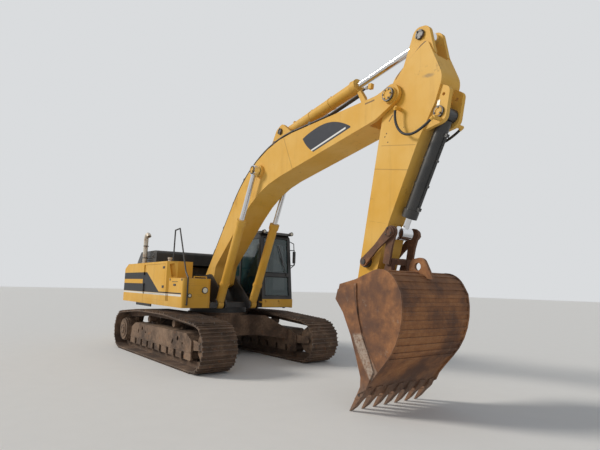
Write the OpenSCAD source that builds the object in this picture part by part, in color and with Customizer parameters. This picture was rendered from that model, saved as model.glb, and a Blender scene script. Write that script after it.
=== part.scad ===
// Crawler excavator with backhoe bucket, 45 tonne class.
// Millimetres, +Z up, +X towards the bucket, +Y to the machine's left.
// Lengths along the machine are counted from the swing axis and shifted to the part's middle at the end.

/* [Stance] */
// How far the upper machine has swung from the tracks, seen from above
swing_rest = 2.6; // [0:0.1:6]
// Fall of the stick's chord, tip pin to bucket pin
stick_fall = 102; // [98:0.1:106]
// Fall of the line from the bucket pin to the tooth tips. The tips touch the ground.
bucket_fall = 81.13; // [76:0.01:86]

/* [Tracks] */
// Distance between the middles of the two tracks
gauge = 2744; // [2600:1:3000]
// Distance from sprocket to idler
wheelbase = 4360; // [4200:1:4600]
// Width of a track shoe
shoe_w = 774; // [600:1:850]
// Shoes on one track
shoe_count = 52; // [50:1:54]
// Thickness of a shoe's plate
shoe_t = 18; // [12:1:24]
// Height of a grouser bar on the shoe
grouser_h = 36; // [20:1:45]
// Radius that the chain's pins run on round idler and sprocket
chain_r = 380; // [360:1:400]
// Height of the link rails, both sides of the pins
link_up = 64; // [60:1:68]
// Depth of the link rails inside the pins
link_down = 56; // [50:1:60]
// Thickness of one link rail
rail_t = 52; // [40:1:60]
// Gap between the two link rails, for the sprocket's teeth
rail_gap = 92; // [80:1:110]
// Height of the chain's pins over the carrier rollers
carrier_rise = 985; // [960:1:1010]
// Carrier rollers along a track, from the swing axis
carrier_x = [620, -880];
// Bottom rollers on a track
roller_count = 9; // [8:1:10]
// Distance between bottom rollers
roller_pitch = 402; // [360:1:410]
// Radius of a bottom roller's tread
roller_r = 104; // [90:1:112]
// Radius of a carrier roller's tread
carrier_r = 78; // [60:1:90]

/* [Upper frame] */
// Underside of the upper frame above the ground
deck_z = 1215; // [1190:1:1260]
// Thickness of the upper frame
deck_t = 120; // [80:1:160]
// Half width of the upper machine over the housings
half_w = 1450; // [1400:1:1500]
// Radius that the counterweight's back sweeps
tail_r = 3770; // [3600:1:3900]
// Height of the housings' top
house_z = 2290; // [2200:1:2350]
// Thickness of housing walls
sheet = 40; // [25:1:60]
// Gap round doors and lids
door_gap = 6; // [5:1:12]

/* [Cab] */
// Inner side of the cab, from the machine's middle
cab_y0 = 600; // [590:1:640]
// Outer side of the cab
cab_y1 = 1500; // [1460:1:1540]
// Top of the cab's roof
cab_top = 3150; // [3050:1:3250]
// Thickness of the cab's walls and door
cab_wall = 60; // [40:1:80]
// Thickness of the window glass
glass_t = 10; // [6:1:14]

/* [Boom] */
// Height of the boom's foot pin
foot_z = 1850; // [1800:1:1900]
// Foot pin to tip pin
boom_len = 6853; // [6700:1:7000]
// Half width of the boom's box
boom_hw = 300; // [280:1:320]
// Radius of the main pins
pin_r = 55; // [45:1:60]

/* [Stick] */
// Tip pin to bucket pin
stick_len = 3138; // [3000:1:3300]
// Half width of the stick's box
stick_hw = 220; // [210:1:230]

/* [Bucket] */
// Half width of the bucket
bucket_hw = 760; // [700:1:820]
// Thickness of the bucket's plates
bucket_t = 32; // [25:1:45]
// Teeth on the lip
tooth_count = 7; // [5:1:8]
// Distance between teeth
tooth_pitch = 235; // [200:1:250]
// Bucket pin to tooth tip
tip_reach = 1718; // [1680:1:1760]
// Radius of the hole in the bucket's lifting eye
eye_bore = 58; // [40:1:70]
// Thickness of the lifting eye
eye_t = 50; // [30:1:60]

/* [Cylinders] */
// Radius of the boom cylinders' barrels
boom_cyl_r = 98; // [85:1:105]
// Distance of the boom cylinders from the machine's middle
boom_cyl_y = 450; // [440:1:455]
// Radius of the stick cylinder's barrel
stick_cyl_r = 115; // [100:1:125]
// Radius of the bucket cylinder's barrel
bucket_cyl_r = 105; // [90:1:110]
// Radius of the boom and bucket cylinders' rods
rod_r = 56; // [45:1:62]

/* [Hidden] */
// Running clearance between a pin and its bore, and between a rod and its gland
fit = 0.5;
// Side clearance between pieces that turn on one pin
side_gap = 6;
// Gap between a piece and the seat that it can leave
seat_gap = 0.3;
arc_step = 10;
$fn = 48;

yellow = "#E8A81C";
dark = "#2B2B2E";
mud = "#7A5A45";
rust = "#B5652B";
chrome = "#D8DADC";
tint = "#5C8F94";

// Plane helpers. Points are [forward, up].
function polar(r, a) = [r * cos(a), r * sin(a)];
function turn(p, a) = [p[0] * cos(a) - p[1] * sin(a), p[0] * sin(a) + p[1] * cos(a)];
function bearing(v) = atan2(v[1], v[0]);
function unit(v) = v / norm(v);
function xy(c) = [c[0], c[1]];
function mid(a, b) = (a + b) / 2;
// An arc round centre c from angle a0 to a1.
function arc(c, r, a0, a1) =
    let (n = max(2, ceil(abs(a1 - a0) / arc_step)))
    [for (i = [0 : n]) c + polar(r, a0 + (a1 - a0) * i / n)];
// One corner b of an outline, rounded to radius r between neighbours a and c.
function corner(a, b, c, r) =
    let (u = unit(a - b), v = unit(c - b), half = acos(u * v) / 2,
         o = b + unit(u + v) * r / sin(half),
         p0 = b + u * r / tan(half), p1 = b + v * r / tan(half),
         a0 = bearing(p0 - o), sweep = (bearing(p1 - o) - a0 + 540) % 360 - 180,
         n = max(1, ceil(abs(sweep) / arc_step)))
    r == 0 ? [b] : [for (i = [0 : n]) o + polar(r, a0 + sweep * i / n)];
// An outline from a table of corners, each [forward, up, radius].
function rounded(t) =
    let (m = len(t))
    [for (i = [0 : m - 1])
        each corner(xy(t[(i + m - 1) % m]), xy(t[i]), xy(t[(i + 1) % m]), t[i][2])];

// A plate drawn in the forward-up plane, from y0 to y1 across the machine.
module slab(y0, y1) translate([0, y1, 0]) rotate([90, 0, 0]) linear_extrude(y1 - y0) children();
// A round bar or bore across the machine at point p.
module across(p, r, y0, y1) translate([p[0], y1, p[1]]) rotate([90, 0, 0]) cylinder(r = r, h = y1 - y0);
module both() { children(); mirror([0, 1, 0]) children(); }
// A box from its lowest to its highest corner.
module block(a, b) translate(a) cube(b - a);
// A round bar from a to b.
module bar(a, b, r) {
    v = b - a;
    translate(a) rotate([0, acos(v[2] / norm(v)), bearing(xy(v))]) cylinder(r = r, h = norm(v));
}
// A bent pipe or rail through the points of t, with a slightly larger ball at each bend.
bend_swell = 1.06;
module pipe(t, r) for (i = [0 : len(t) - 2]) {
    bar(t[i], t[i + 1], r);
    if (i > 0) translate(t[i]) sphere(r = r * bend_swell);
}
// A flat link from the origin to [l, 0] with end radii r0 and r1 and half width w at its waist.
module strap(l, r0, r1, w, y0, y1) {
    across([0, 0], r0, y0, y1);
    across([l, 0], r1, y0, y1);
    slab(y0, y1) polygon([[0, -r0 + 6], [l * 0.45, -w], [l * 0.55, -w], [l, -r1 + 6],
        [l, r1 - 6], [l * 0.55, w], [l * 0.45, w], [0, r0 - 6]]);
}
// Places a piece drawn about a pin at the origin.
module at_pin(p, a) translate([p[0], 0, p[1]]) rotate([0, -a, 0]) children();

// Pins of the boom, stick and bucket. Those in a local frame are measured from its first pin,
// along the chord and square to it.
foot = [0, foot_z];
// The bucket's tooth tips lie this far above the ground.
tip_lift = 1;
// Rise of the boom's chord that brings the tooth tips there
boom_rise = asin((tip_lift + tip_reach * sin(bucket_fall) + stick_len * sin(stick_fall) - foot_z) / boom_len);
function on_boom(p) = foot + turn(p, boom_rise);
tip = on_boom([boom_len, 0]);
stick_dir = -stick_fall;
function on_stick(p) = tip + turn(p, stick_dir);
bucket_pin = on_stick([stick_len, 0]);
bucket_dir = -bucket_fall;
function on_bucket(p) = bucket_pin + turn(p, bucket_dir);

boom_cyl_eye = [3170, 1190];
stick_cyl_base = [4040, 1660];
stick_cyl_eye = [-910, 330];
bucket_cyl_base = [310, 910];
hose_ear = [60, 940];
idler_pin = [stick_len - 488, 0];
link_ear = [-110, 510];
idler_len = 692;
link_len = 738;
boom_cyl_foot = [950, 1300];

// Top pin of the bucket linkage, where the idler links and the power link meet.
idler_at = on_stick(idler_pin);
ear_at = on_bucket(link_ear);
link_span = norm(ear_at - idler_at);
link_corner = acos((pow(idler_len, 2) + pow(link_span, 2) - pow(link_len, 2)) / (2 * idler_len * link_span));
top_at = idler_at + polar(idler_len, bearing(ear_at - idler_at) + link_corner);

// The part's origin is midway between the tail and the hose ear on the stick.
ear_r = 95;
front_x = on_stick(hose_ear)[0] + ear_r;
mid_x = (front_x - tail_r) / 2;
module machine() translate([-mid_x, 0, 0]) children();
module under() machine() rotate([0, 0, swing_rest]) children();

// Tracks
chain_z = chain_r + link_up + shoe_t + grouser_h;
idler_c = [wheelbase / 2, chain_z];
sprocket_c = [-wheelbase / 2, chain_z];
rail_y = (rail_gap + rail_t) / 2;
// Angle at which the chain leaves a wheel c for a carrier point p; side is 1 for the front wheel.
function leave(c, p, side) = bearing(p - c) - side * acos(chain_r / norm(p - c));
front_top = [carrier_x[0], carrier_rise];
rear_top = [carrier_x[1], carrier_rise];
front_leave = leave(idler_c, front_top, 1);
rear_leave = leave(sprocket_c, rear_top, -1);
front_up = idler_c + polar(chain_r, front_leave);
rear_down = sprocket_c + polar(chain_r, rear_leave);
arc_rate = chain_r * PI / 180;
// Stretches of the chain: [length, start, end] for a straight one,
// [length, centre, first angle, last angle] for an arc.
stretches = [
    [wheelbase, sprocket_c - [0, chain_r], idler_c - [0, chain_r]],
    [arc_rate * (front_leave + 90), idler_c, -90, front_leave],
    [norm(front_top - front_up), front_up, front_top],
    [norm(rear_top - front_top), front_top, rear_top],
    [norm(rear_down - rear_top), rear_top, rear_down],
    [arc_rate * (270 - rear_leave), sprocket_c, rear_leave, 270]];
function total(t, i = 0) = i == len(t) ? 0 : t[i][0] + total(t, i + 1);
chain_len = total(stretches);
function along(s, i = 0) =
    i < len(stretches) - 1 && s > stretches[i][0] ? along(s - stretches[i][0], i + 1)
    : let (g = stretches[i], f = s / g[0])
      len(g) == 3 ? g[1] + (g[2] - g[1]) * f : g[1] + polar(chain_r, g[2] + (g[3] - g[2]) * f);
link_pins = [for (i = [0 : shoe_count - 1]) along(chain_len * i / shoe_count)];
function link_pin(i) = link_pins[(i + shoe_count) % shoe_count];
link_pitch = chain_len / shoe_count;
// One shoe's outer outline between two pins: [along from the middle, 1 on a grouser's top].
grouser_w = 30;
grouser_top = 8;
shoe_marks = [
    [-link_pitch / 2, 0],
    [-link_pitch / 2 + grouser_top, 1], [-link_pitch / 2 + grouser_w - grouser_top, 1],
    [-link_pitch / 2 + grouser_w, 0],
    [-grouser_w / 2, 0], [-grouser_w / 2 + grouser_top, 1], [grouser_w / 2 - grouser_top, 1],
    [grouser_w / 2, 0],
    [link_pitch / 2 - grouser_w, 0], [link_pitch / 2 - grouser_w + grouser_top, 1],
    [link_pitch / 2 - grouser_top, 1]];
function shoe(i) =
    let (a = link_pin(i), b = link_pin(i + 1), d = unit(b - a), out = turn(d, -90))
    [for (m = shoe_marks) mid(a, b) + d * m[0] + out * (link_up + shoe_t + grouser_h * m[1])];
tread = [for (i = [0 : shoe_count - 1]) each shoe(i)];
// The pins moved square to the chain by h, leaving out those that lie on a straight run.
function bend(i) =
    let (u = unit(link_pin(i) - link_pin(i - 1)), v = unit(link_pin(i + 1) - link_pin(i)))
    abs(u[0] * v[1] - u[1] * v[0]);
function loop(h) =
    [for (i = [0 : shoe_count - 1]) if (bend(i) > 0.005)
        let (u = unit(link_pin(i) - link_pin(i - 1)), v = unit(link_pin(i + 1) - link_pin(i)),
             out = turn(unit(u + v), -90))
        link_pin(i) + out * h / max(0.9, out * turn(u, -90))];
module band(outer, inner)
    polygon(concat(outer, inner), paths = [
        [for (i = [0 : len(outer) - 1]) i],
        [for (i = [0 : len(inner) - 1]) len(outer) + i]]);

module track(y) color(mud) under() translate([0, y, 0]) {
    slab(-shoe_w / 2, shoe_w / 2) band(tread, loop(link_up));
    for (s = [-1, 1]) translate([0, s * rail_y, 0])
        slab(-rail_t / 2, rail_t / 2) band(loop(link_up + shoe_t / 2), loop(-link_down));
}
module track_right() track(-gauge / 2);
module track_left() track(gauge / 2);

// Track frames
tread_r = chain_r - link_down;
// Idler and sprocket stay inside the flats of the chain that lies round them.
wheel_r = chain_r * cos(asin(link_pitch / 2 / chain_r)) - link_down - fit;
rail_top_z = chain_z - tread_r;
frame_hw = 210;
frame_top = 720;
frame_low = 415;
frame_front = idler_c[0] - tread_r - 60;
frame_back = sprocket_c[0] + 160;
roller_z = rail_top_z + roller_r + fit;
roller_first = -roller_pitch * (roller_count - 1) / 2;
roller_shaft = 32;
fork_y = 130;
fork_t = 38;
idler_hub = 70;
idler_dome = 22;
wall_low = roller_z - 85;
slot_hw = 62;
slot_top = 338;
ledge_t = 14;
// Pockets in the frame's outer face, one group ahead of and one behind the middle: [along, up]
pockets = [[-1000, 560], [1120, 530]];
chain_sag = 3.5;
carrier_z = carrier_rise - link_down - carrier_r - chain_sag - fit;
carrier_shaft = 34;
post_y = 112;
post_t = 60;

// Drawn for the left side, where +Y is outboard.
module track_frame() translate([0, gauge / 2, 0]) {
    difference() {
        slab(-frame_hw, frame_hw) polygon(rounded([
            [frame_back + 260, frame_low, 30], [frame_back + 260, frame_top - 120, 60],
            [frame_back + 520, frame_top, 60], [frame_front - 250, frame_top, 60],
            [frame_front, frame_top - 130, 30], [frame_front, frame_low, 30]]));
        for (p = pockets) {
            slab(frame_hw - 90, frame_hw + 1) polygon(rounded([
                [p[0] - 330, p[1] - 100, 30], [p[0] - 260, p[1] - 100, 30], [p[0] - 190, p[1] + 20, 30],
                [p[0] - 260, p[1] + 20, 30]]));
            across(p + [0, 46], 50, frame_hw - 90, frame_hw + 1);
            across(p + [250, -30], 28, frame_hw - 90, frame_hw + 1);
        }
    }
    // Side walls that reach down to the rollers' shafts
    both() difference() {
        slab(frame_hw - 40, frame_hw) polygon(rounded([
            [roller_first - 190, wall_low, 20], [roller_first - 190, frame_low + 20, 0],
            [-roller_first + 190, frame_low + 20, 0], [-roller_first + 190, wall_low, 20]]));
        for (i = [0 : roller_count - 2]) {
            x = roller_first + (i + 0.5) * roller_pitch;
            slab(frame_hw - 50, frame_hw + 10) polygon([
                [x - slot_hw, wall_low - 1], [x - slot_hw, slot_top - 15], [x - slot_hw + 15, slot_top],
                [x + slot_hw - 15, slot_top], [x + slot_hw, slot_top - 15], [x + slot_hw, wall_low - 1]]);
        }
        for (i = [0 : roller_count - 1])
            across([roller_first + i * roller_pitch, roller_z], roller_shaft + fit, frame_hw - 50, frame_hw + 10);
    }
    // Ledge over the slots
    slab(frame_hw - 1, frame_hw + ledge_t) polygon([
        [roller_first - 170, slot_top + 12], [-roller_first + 170, slot_top + 12],
        [-roller_first + 170, slot_top + 30], [roller_first - 170, slot_top + 30]]);
    // Fork that carries the idler
    both() slab(fork_y, fork_y + fork_t) polygon(rounded([
        [frame_front - 40, idler_c[1] - 105, 30], [frame_front - 40, idler_c[1] + 105, 30],
        [idler_c[0] + 62, idler_c[1] + 62, 60], [idler_c[0] + 62, idler_c[1] - 62, 60]]));
    // Plate that carries the final drive
    across(sprocket_c, 200, -frame_hw, -frame_hw + 60);
    slab(-frame_hw, -frame_hw + 60) polygon([
        sprocket_c - [0, 195], sprocket_c + [0, 195], [frame_back + 320, chain_z + 170],
        [frame_back + 320, chain_z - 160]]);
    // Posts of the carrier rollers
    for (x = carrier_x) difference() {
        block([x - 60, -post_y - post_t, frame_top - 30], [x + 60, -post_y, carrier_z + 60]);
        across([x, carrier_z], carrier_shaft + fit, -post_y - post_t - 1, 0);
    }
}
module track_frame_right() color(mud) under() mirror([0, 1, 0]) track_frame();
module track_frame_left() color(mud) under() track_frame();

wheel_y = rail_gap / 2 + rail_t;
module idlers() color(mud) under() both() translate([0, gauge / 2, 0]) {
    across(idler_c, wheel_r, -wheel_y, wheel_y);
    // Domed faces
    for (a = [90, -90]) translate([idler_c[0], 0, idler_c[1]]) rotate([a, 0, 0]) translate([0, 0, wheel_y - 1])
        cylinder(r1 = wheel_r - 34, r2 = idler_hub + 40, h = idler_dome + 1);
    // Rim between the link rails
    across(idler_c, chain_r - 42, -rail_gap / 2 + 8, rail_gap / 2 - 8);
    across(idler_c, idler_hub, -fork_y + fit, fork_y - fit);
}
tooth_hw = 38;
// Angle between two pins on the wheel, and the first pin's place past the point where the chain meets it
tooth_step = link_pitch / arc_rate;
to_sprocket = chain_len - stretches[5][0];
tooth_shift = (to_sprocket / link_pitch) % 1;
module sprockets() color(mud) under() both() translate([0, gauge / 2, 0]) {
    across(sprocket_c, wheel_r, -wheel_y, wheel_y);
    // Teeth between the chain's pins
    slab(-tooth_hw, tooth_hw) for (i = [0 : 10]) translate(sprocket_c)
        rotate(rear_leave + (i + 0.5 - tooth_shift) * tooth_step)
            polygon([[wheel_r - 20, -78], [chain_r - 20, -50], [chain_r + 22, -20], [chain_r + 22, 20],
                [chain_r - 20, 50], [wheel_r - 20, 78]]);
}
module final_drives() color(mud) under() both() translate([0, gauge / 2, 0]) {
    // Housing in steps: [radius, outer face]
    for (d = [[312, 190], [300, 240], [274, 285], [190, 302]]) across(sprocket_c, d[0], wheel_y, d[1]);
    for (a = [0 : 30 : 330]) across(sprocket_c + polar(286, a + 15), 10, 230, 250);
    across(sprocket_c, 180, -frame_hw + 60 + fit, -wheel_y);
}
module track_rollers() color(mud) under() both() translate([0, gauge / 2, 0])
    for (i = [0 : roller_count - 1]) {
        c = [roller_first + i * roller_pitch, roller_z];
        across(c, roller_r, -wheel_y, wheel_y);
        across(c, roller_shaft, -frame_hw, frame_hw);
        // Flanges outside the rails
        for (s = [-1, 1]) across(c, roller_r + 24, s * (wheel_y + 9) - 7, s * (wheel_y + 9) + 7);
    }
module carrier_rollers() color(mud) under() both() translate([0, gauge / 2, 0])
    for (x = carrier_x) {
        across([x, carrier_z], carrier_r, -wheel_y, wheel_y);
        across([x, carrier_z], carrier_shaft, -post_y - post_t - 10, 0);
    }

ring_r = 760;
carbody_top = 1075;
carbody_low = 520;
module carbody() color(dark) under() {
    translate([0, 0, carbody_top - 220]) cylinder(r = ring_r, h = 220);
    difference() {
        intersection() {
            linear_extrude(carbody_top) polygon([
                [1500, gauge / 2 - frame_hw], [1500, gauge / 2 - frame_hw - 60], [760, 500], [760, -500],
                [1500, -gauge / 2 + frame_hw + 60], [1500, -gauge / 2 + frame_hw],
                [1000, -gauge / 2 + frame_hw], [400, -760], [-400, -760],
                [-1000, -gauge / 2 + frame_hw], [-1500, -gauge / 2 + frame_hw],
                [-1500, -gauge / 2 + frame_hw + 60], [-760, -500], [-760, 500],
                [-1500, gauge / 2 - frame_hw - 60], [-1500, gauge / 2 - frame_hw],
                [-1000, gauge / 2 - frame_hw], [-400, 760], [400, 760], [1000, gauge / 2 - frame_hw]]);
            rotate([0, 0, 90]) slab(-2000, 2000) polygon([
                [-gauge / 2 + frame_hw, frame_low + 60], [-ring_r, carbody_low], [ring_r, carbody_low],
                [gauge / 2 - frame_hw, frame_low + 60], [gauge / 2 - frame_hw, frame_top - 40],
                [ring_r, carbody_top - 60], [-ring_r, carbody_top - 60],
                [-gauge / 2 + frame_hw, frame_top - 40]]);
        }
    }
}
bearing_r = 720;
module swing_bearing() color(dark) machine() translate([0, 0, carbody_top + seat_gap])
    cylinder(r = bearing_r, h = deck_z - carbody_top - 2 * seat_gap);

// Upper frame with the boom's foot brackets and the lugs of the boom cylinders
skirt_t = 30;
deck_hw = half_w - skirt_t;
// Left edge of the upper frame under the cab
cab_ledge_y = cab_y1 - skirt_t - 50;
web_y0 = boom_hw + side_gap;
web_t = 40;
lug_y0 = boom_cyl_y + boom_cyl_r + side_gap;
lug_t = 30;
lug_r = 115;
module deck() color(dark) machine() {
    difference() {
        union() {
            translate([0, 0, deck_z]) linear_extrude(deck_t) polygon([
                [weight_front + 30, -deck_hw], [1050, -deck_hw], [1050, cab_ledge_y], [cab_back, cab_ledge_y],
                [cab_back, deck_hw], [weight_front + 30, deck_hw]]);
            // Belly guards
            both() block([weight_front + 200, deck_hw - 150, deck_z - 90], [-1430, deck_hw - 120, deck_z + 1]);
            both() slab(web_y0, web_y0 + web_t) polygon(rounded([
                [-900, deck_z, 0], [-900, deck_z + 420, 150], [-240, foot_z + 130, 150],
                [170, foot_z + 170, 170], [boom_cyl_foot[0] + 64, boom_cyl_foot[1] + 95, 0],
                [boom_cyl_foot[0] + lug_r - 10, boom_cyl_foot[1] - 50, 0], [900, deck_z, 0]]));
            both() slab(lug_y0, lug_y0 + lug_t) polygon([
                [700, deck_z], [700, deck_z + deck_t], boom_cyl_foot + [-80, 80],
                boom_cyl_foot + [lug_r - 10, -50], [900, deck_z]]);
            both() for (y = [[web_y0, web_t], [lug_y0, lug_t]]) across(boom_cyl_foot, lug_r, y[0], y[0] + y[1]);
        }
        // Opening for the boom cylinders' eyes
        both() block([boom_cyl_foot[0] - 190, web_y0 + web_t, deck_z - 1], [1100, lug_y0, deck_z + deck_t + 1]);
        block([boom_cyl_foot[0] - 100, -web_y0, deck_z - 1], [1100, web_y0, deck_z + deck_t + 1]);
        block([tank_front, -deck_hw - 1, deck_z - 1], [1100, -box_in, deck_z + deck_t + 1]);
    }
    across(foot, pin_r, -web_y0 - web_t - 20, web_y0 + web_t + 20);
    both() across(boom_cyl_foot, pin_r, web_y0 + 10, lug_y0 + lug_t + 10);
}

// Counterweight: a thick casting at the tail with a wing along each side
seam_x = -1660;
wing_t = 260;
tail_round = 350;
weight_front = -tail_r + 890;
module counterweight() color(yellow) machine() {
    difference() {
        intersection() {
            translate([0, 0, deck_z]) cylinder(r = tail_r, h = house_z - deck_z, $fn = 96);
            block([-tail_r, -half_w, deck_z], [seam_x, half_w, house_z]);
            slab(-half_w - 1, half_w + 1) polygon([
                [-tail_r - 1, deck_z], [-tail_r - 1, house_z - 270], [-tail_r + 610, house_z], [seam_x, house_z],
                [seam_x, deck_z]]);
        }
        block([weight_front, -half_w + wing_t, deck_z - 1], [seam_x + 1, half_w - wing_t, house_z + 1]);
        both() block([weight_front + 20, half_w - wing_t - 1, deck_z - 1], [seam_x + 1, deck_hw, deck_z + deck_t]);
    }
    // Ears and pins of the hood's hinges
    both() {
        for (y = [[hood_hinge_y[0] - 30, hood_hinge_y[0] - seat_gap], [hood_hinge_y[1] + seat_gap, hood_hinge_y[1] + 30]])
            slab(y[0], y[1]) polygon([
                [hood_axis[0] - 60, house_z - 150], [hood_axis[0] + 20, house_z - 120], hood_axis + [20, 15],
                hood_axis + [10, 25], hood_axis + [-10, 25], hood_axis + [-20, 15]]);
        across(hood_axis, 10, hood_hinge_y[0] - 30, hood_hinge_y[1] + 30);
    }
}

engine_box = [[weight_front + 180, -780, deck_z + deck_t + 60], [seam_x - 240, 780, house_z - 60]];
engine_foot = 120;
engine_foot_top = 1450;
module engine() color(dark) machine() {
    block(engine_box[0], engine_box[1]);
    for (x = [engine_box[0][0], engine_box[1][0] - engine_foot]) both()
        block([x, engine_box[1][1] - engine_foot, deck_z + deck_t], [x + engine_foot, engine_box[1][1], engine_foot_top]);
}

hood_x = [-tail_r + 440, seam_x + 20];
hood_hw = half_w - 300;
hood_top = house_z + 370;
hood_axis = [hood_x[0] - 30, house_z + 50];
hood_hinge_y = [640, 700];
module hood() color(dark) machine() {
    both() difference() {
        union() {
            across(hood_axis, 22, hood_hinge_y[0], hood_hinge_y[1]);
            slab(hood_hinge_y[0], hood_hinge_y[1]) polygon([
                hood_axis - [0, 22], [hood_x[0] + 60, house_z + 20], [hood_x[0] + 60, house_z + 95],
                hood_axis + [0, 22]]);
        }
        across(hood_axis, 10 + fit, 0, hood_hw);
    }
    difference() {
        slab(-hood_hw, hood_hw) polygon(rounded([
            [hood_x[0], house_z + seat_gap, 0], [hood_x[0] + 40, house_z + 90, 60],
            [hood_x[0] + 330, hood_top, 120], [hood_x[1], hood_top, 90], [hood_x[1], house_z + seat_gap, 0]]));
        slab(-hood_hw + sheet, hood_hw - sheet) polygon(rounded([
            [hood_x[0] + 150, house_z, 0], [hood_x[0] + 380, hood_top - sheet, 90],
            [hood_x[1] - sheet, hood_top - sheet, 60], [hood_x[1] - sheet, house_z, 0]]));
    }
}

// Hinges of doors that stand upright. Drawn on the left side, where the closed door's face lies at y = face
// and its hinged edge at x. The frame carries the pins.
knuckle_r = 16;
knuckle_h = 90;
hinge_pin = 8;
module knuckle(x, face, z0, z1, reach) {
    translate([x, face + knuckle_r + 2, z0]) cylinder(r = knuckle_r, h = z1 - z0);
    block([min(x, x + reach), face - 1, z0], [max(x, x + reach), face + 9, z1]);
}
module hinge_frame(x, face, zs) for (z = zs) {
    knuckle(x, face, z - knuckle_h, z - seat_gap, -60);
    knuckle(x, face, z + knuckle_h + seat_gap, z + 2 * knuckle_h, -60);
    translate([x, face + knuckle_r + 2, z - knuckle_h]) cylinder(r = hinge_pin, h = 3 * knuckle_h);
}
module hinge_leaf(x, face, zs) for (z = zs) difference() {
    knuckle(x, face, z, z + knuckle_h, door_gap + 60);
    translate([x, face + knuckle_r + 2, z - 1]) cylinder(r = hinge_pin + fit, h = knuckle_h + 2);
}
// Side doors, hinged at the rear edge: [rear edge, front edge]
right_door_x = [-1590, -60];
left_door_x = [-1590, -860];
side_door_z = [1480, 2230];
side_hinge_zs = [1560, 2050];
leaf_t = 35;
pocket = 260;
module door_pocket(x) block([x[0], half_w - pocket, side_door_z[0]], [x[1], half_w + 1, side_door_z[1]]);
module side_door(x) {
    block([x[0] + door_gap, half_w - leaf_t, side_door_z[0] + door_gap],
          [x[1] - door_gap, half_w, side_door_z[1] - door_gap]);
    hinge_leaf(x[0], half_w, side_hinge_zs);
}
module door_right() color(yellow) machine() mirror([0, 1, 0]) side_door(right_door_x);
module door_left() color(yellow) machine() side_door(left_door_x);

// Right side: pump compartment and tank behind, tool box in front
tank_in = 870;
tank_front = 250;
chamfer = 200;
box_front = 1120;
box_in = 740;
box_z = 1880;
house_back = seam_x + 12;
recess_hw = 80;
module right_housing() color(yellow) machine() {
    difference() {
        translate([0, 0, deck_z + deck_t]) linear_extrude(house_z - deck_z - deck_t) polygon([
            [house_back, -half_w], [tank_front - chamfer, -half_w], [tank_front, -half_w + chamfer],
            [tank_front, -tank_in], [house_back, -tank_in]]);
        mirror([0, 1, 0]) door_pocket(right_door_x);
        // Slanted recess in the tank's chamfered corner
        translate([tank_front - chamfer / 2, -half_w + chamfer / 2, box_z + 190]) rotate([0, 0, -45])
            rotate([12, 0, 0]) block([-60, -40, -160], [60, recess_hw, 160]);
    }
    mirror([0, 1, 0]) hinge_frame(right_door_x[0], half_w, side_hinge_zs);
}
// Filler neck and cap of the tank
cap_at = [-180, 150 - half_w];
module filler_cap() color("#C9A86A") machine() translate([cap_at[0], cap_at[1], house_z]) {
    cylinder(r = 42, h = 60);
    translate([0, 0, 60]) cylinder(r = 54, h = 45);
}
// Lamps on the tool box: [across, up, radius]
box_lamps = [[-box_in - 181, 1614, 58], [164 - half_w, 1492, 32]];
rib_zs = [1480, 1600, 1720];
module tool_box() color(yellow) machine() {
    translate([0, 0, deck_z]) linear_extrude(box_z - deck_z) polygon(rounded([
        [tank_front, -half_w, 0], [box_front, -half_w, 60], [box_front, -box_in, 120],
        [tank_front, -box_in, 0]]));
    // Ribs pressed into the front
    difference() {
        for (z = rib_zs) block([box_front - 20, -half_w + 90, z], [box_front + 8, -box_in - 150, z + 36]);
        for (l = box_lamps) translate([box_front, l[0], l[1]]) rotate([0, 90, 0]) cylinder(r = l[2] + 10, h = 20);
    }
    // Grab rail on the front edge
    pipe([for (q = [[270 - half_w, 0], [270 - half_w, 60], [-box_in - 140, 60], [-box_in - 140, 0]]) [box_front - 30, q[0], box_z - 20 + q[1]]], 12);
}
module box_lamp_set() color("#E8D9A0") machine() for (l = box_lamps)
    translate([box_front, l[0], l[1]]) rotate([0, 90, 0]) cylinder(r = l[2], h = 26);
module left_housing() color(yellow) machine() {
    difference() {
        block([house_back, tank_in, deck_z + deck_t], [-800, half_w, house_z]);
        door_pocket(left_door_x);
    }
    hinge_frame(left_door_x[0], half_w, side_hinge_zs);
}
module skirts() color(yellow) machine() {
    block([house_back, -half_w, deck_z], [tank_front, -deck_hw, deck_z + deck_t]);
    block([house_back, deck_hw, deck_z], [-800, half_w, deck_z + deck_t]);
}
// Handrail hoop on the right side, from the tank's top down to the tool box's foot
rail_pts = [[180, house_z + 0.6], [200, 3040], [490, 3060], [1010, 2020], [box_front + 32, box_z + 10],
    [box_front + 34, 1290], [box_front + 0.4, 1290]];
rail_r = 17;
rail_in = 100;
module handrail() color(dark) machine()
    pipe([for (q = rail_pts) [q[0], rail_in - half_w, q[1]]], rail_r);

// Cab
cab_back = -750;
cab_floor = deck_z + deck_t + 40;
cab_sill = 1440;
cab_front_low = 1170;
cab_front_high = 990;
cab_edge_z = cab_top - 70;
sill_z = [deck_z + 20, cab_sill - 10];
module cab_base() color(yellow) machine() {
    block([cab_back, cab_y0, deck_z + deck_t], [cab_front_low, cab_y1, cab_floor]);
    // Sill plate across the front, with two holes
    difference() {
        block([cab_front_low, cab_y0, sill_z[0]], [cab_front_low + 25, cab_y1, sill_z[1]]);
        for (y = [cab_y0 + 90, cab_y0 + 475]) translate([cab_front_low - 1, y, sill_z[1] - 60])
            rotate([0, 90, 0]) cylinder(r = 26, h = 30);
    }
    // Skirt under the door
    block([cab_back, cab_y1 - skirt_t, deck_z], [cab_front_low + 25, cab_y1, deck_z + deck_t]);
    block([cab_back, cab_ledge_y, deck_z + 30], [cab_front_low, cab_y1 - skirt_t, deck_z + 60]);
}
function cab_profile(d) = rounded([
    [cab_back + d, cab_floor + d, 0], [cab_back + d, cab_edge_z - d, 120],
    [cab_front_high - d, cab_edge_z - d, 120], [cab_front_low - d, cab_sill, 0],
    [cab_front_low - d, cab_floor + d, 0]]);
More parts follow.
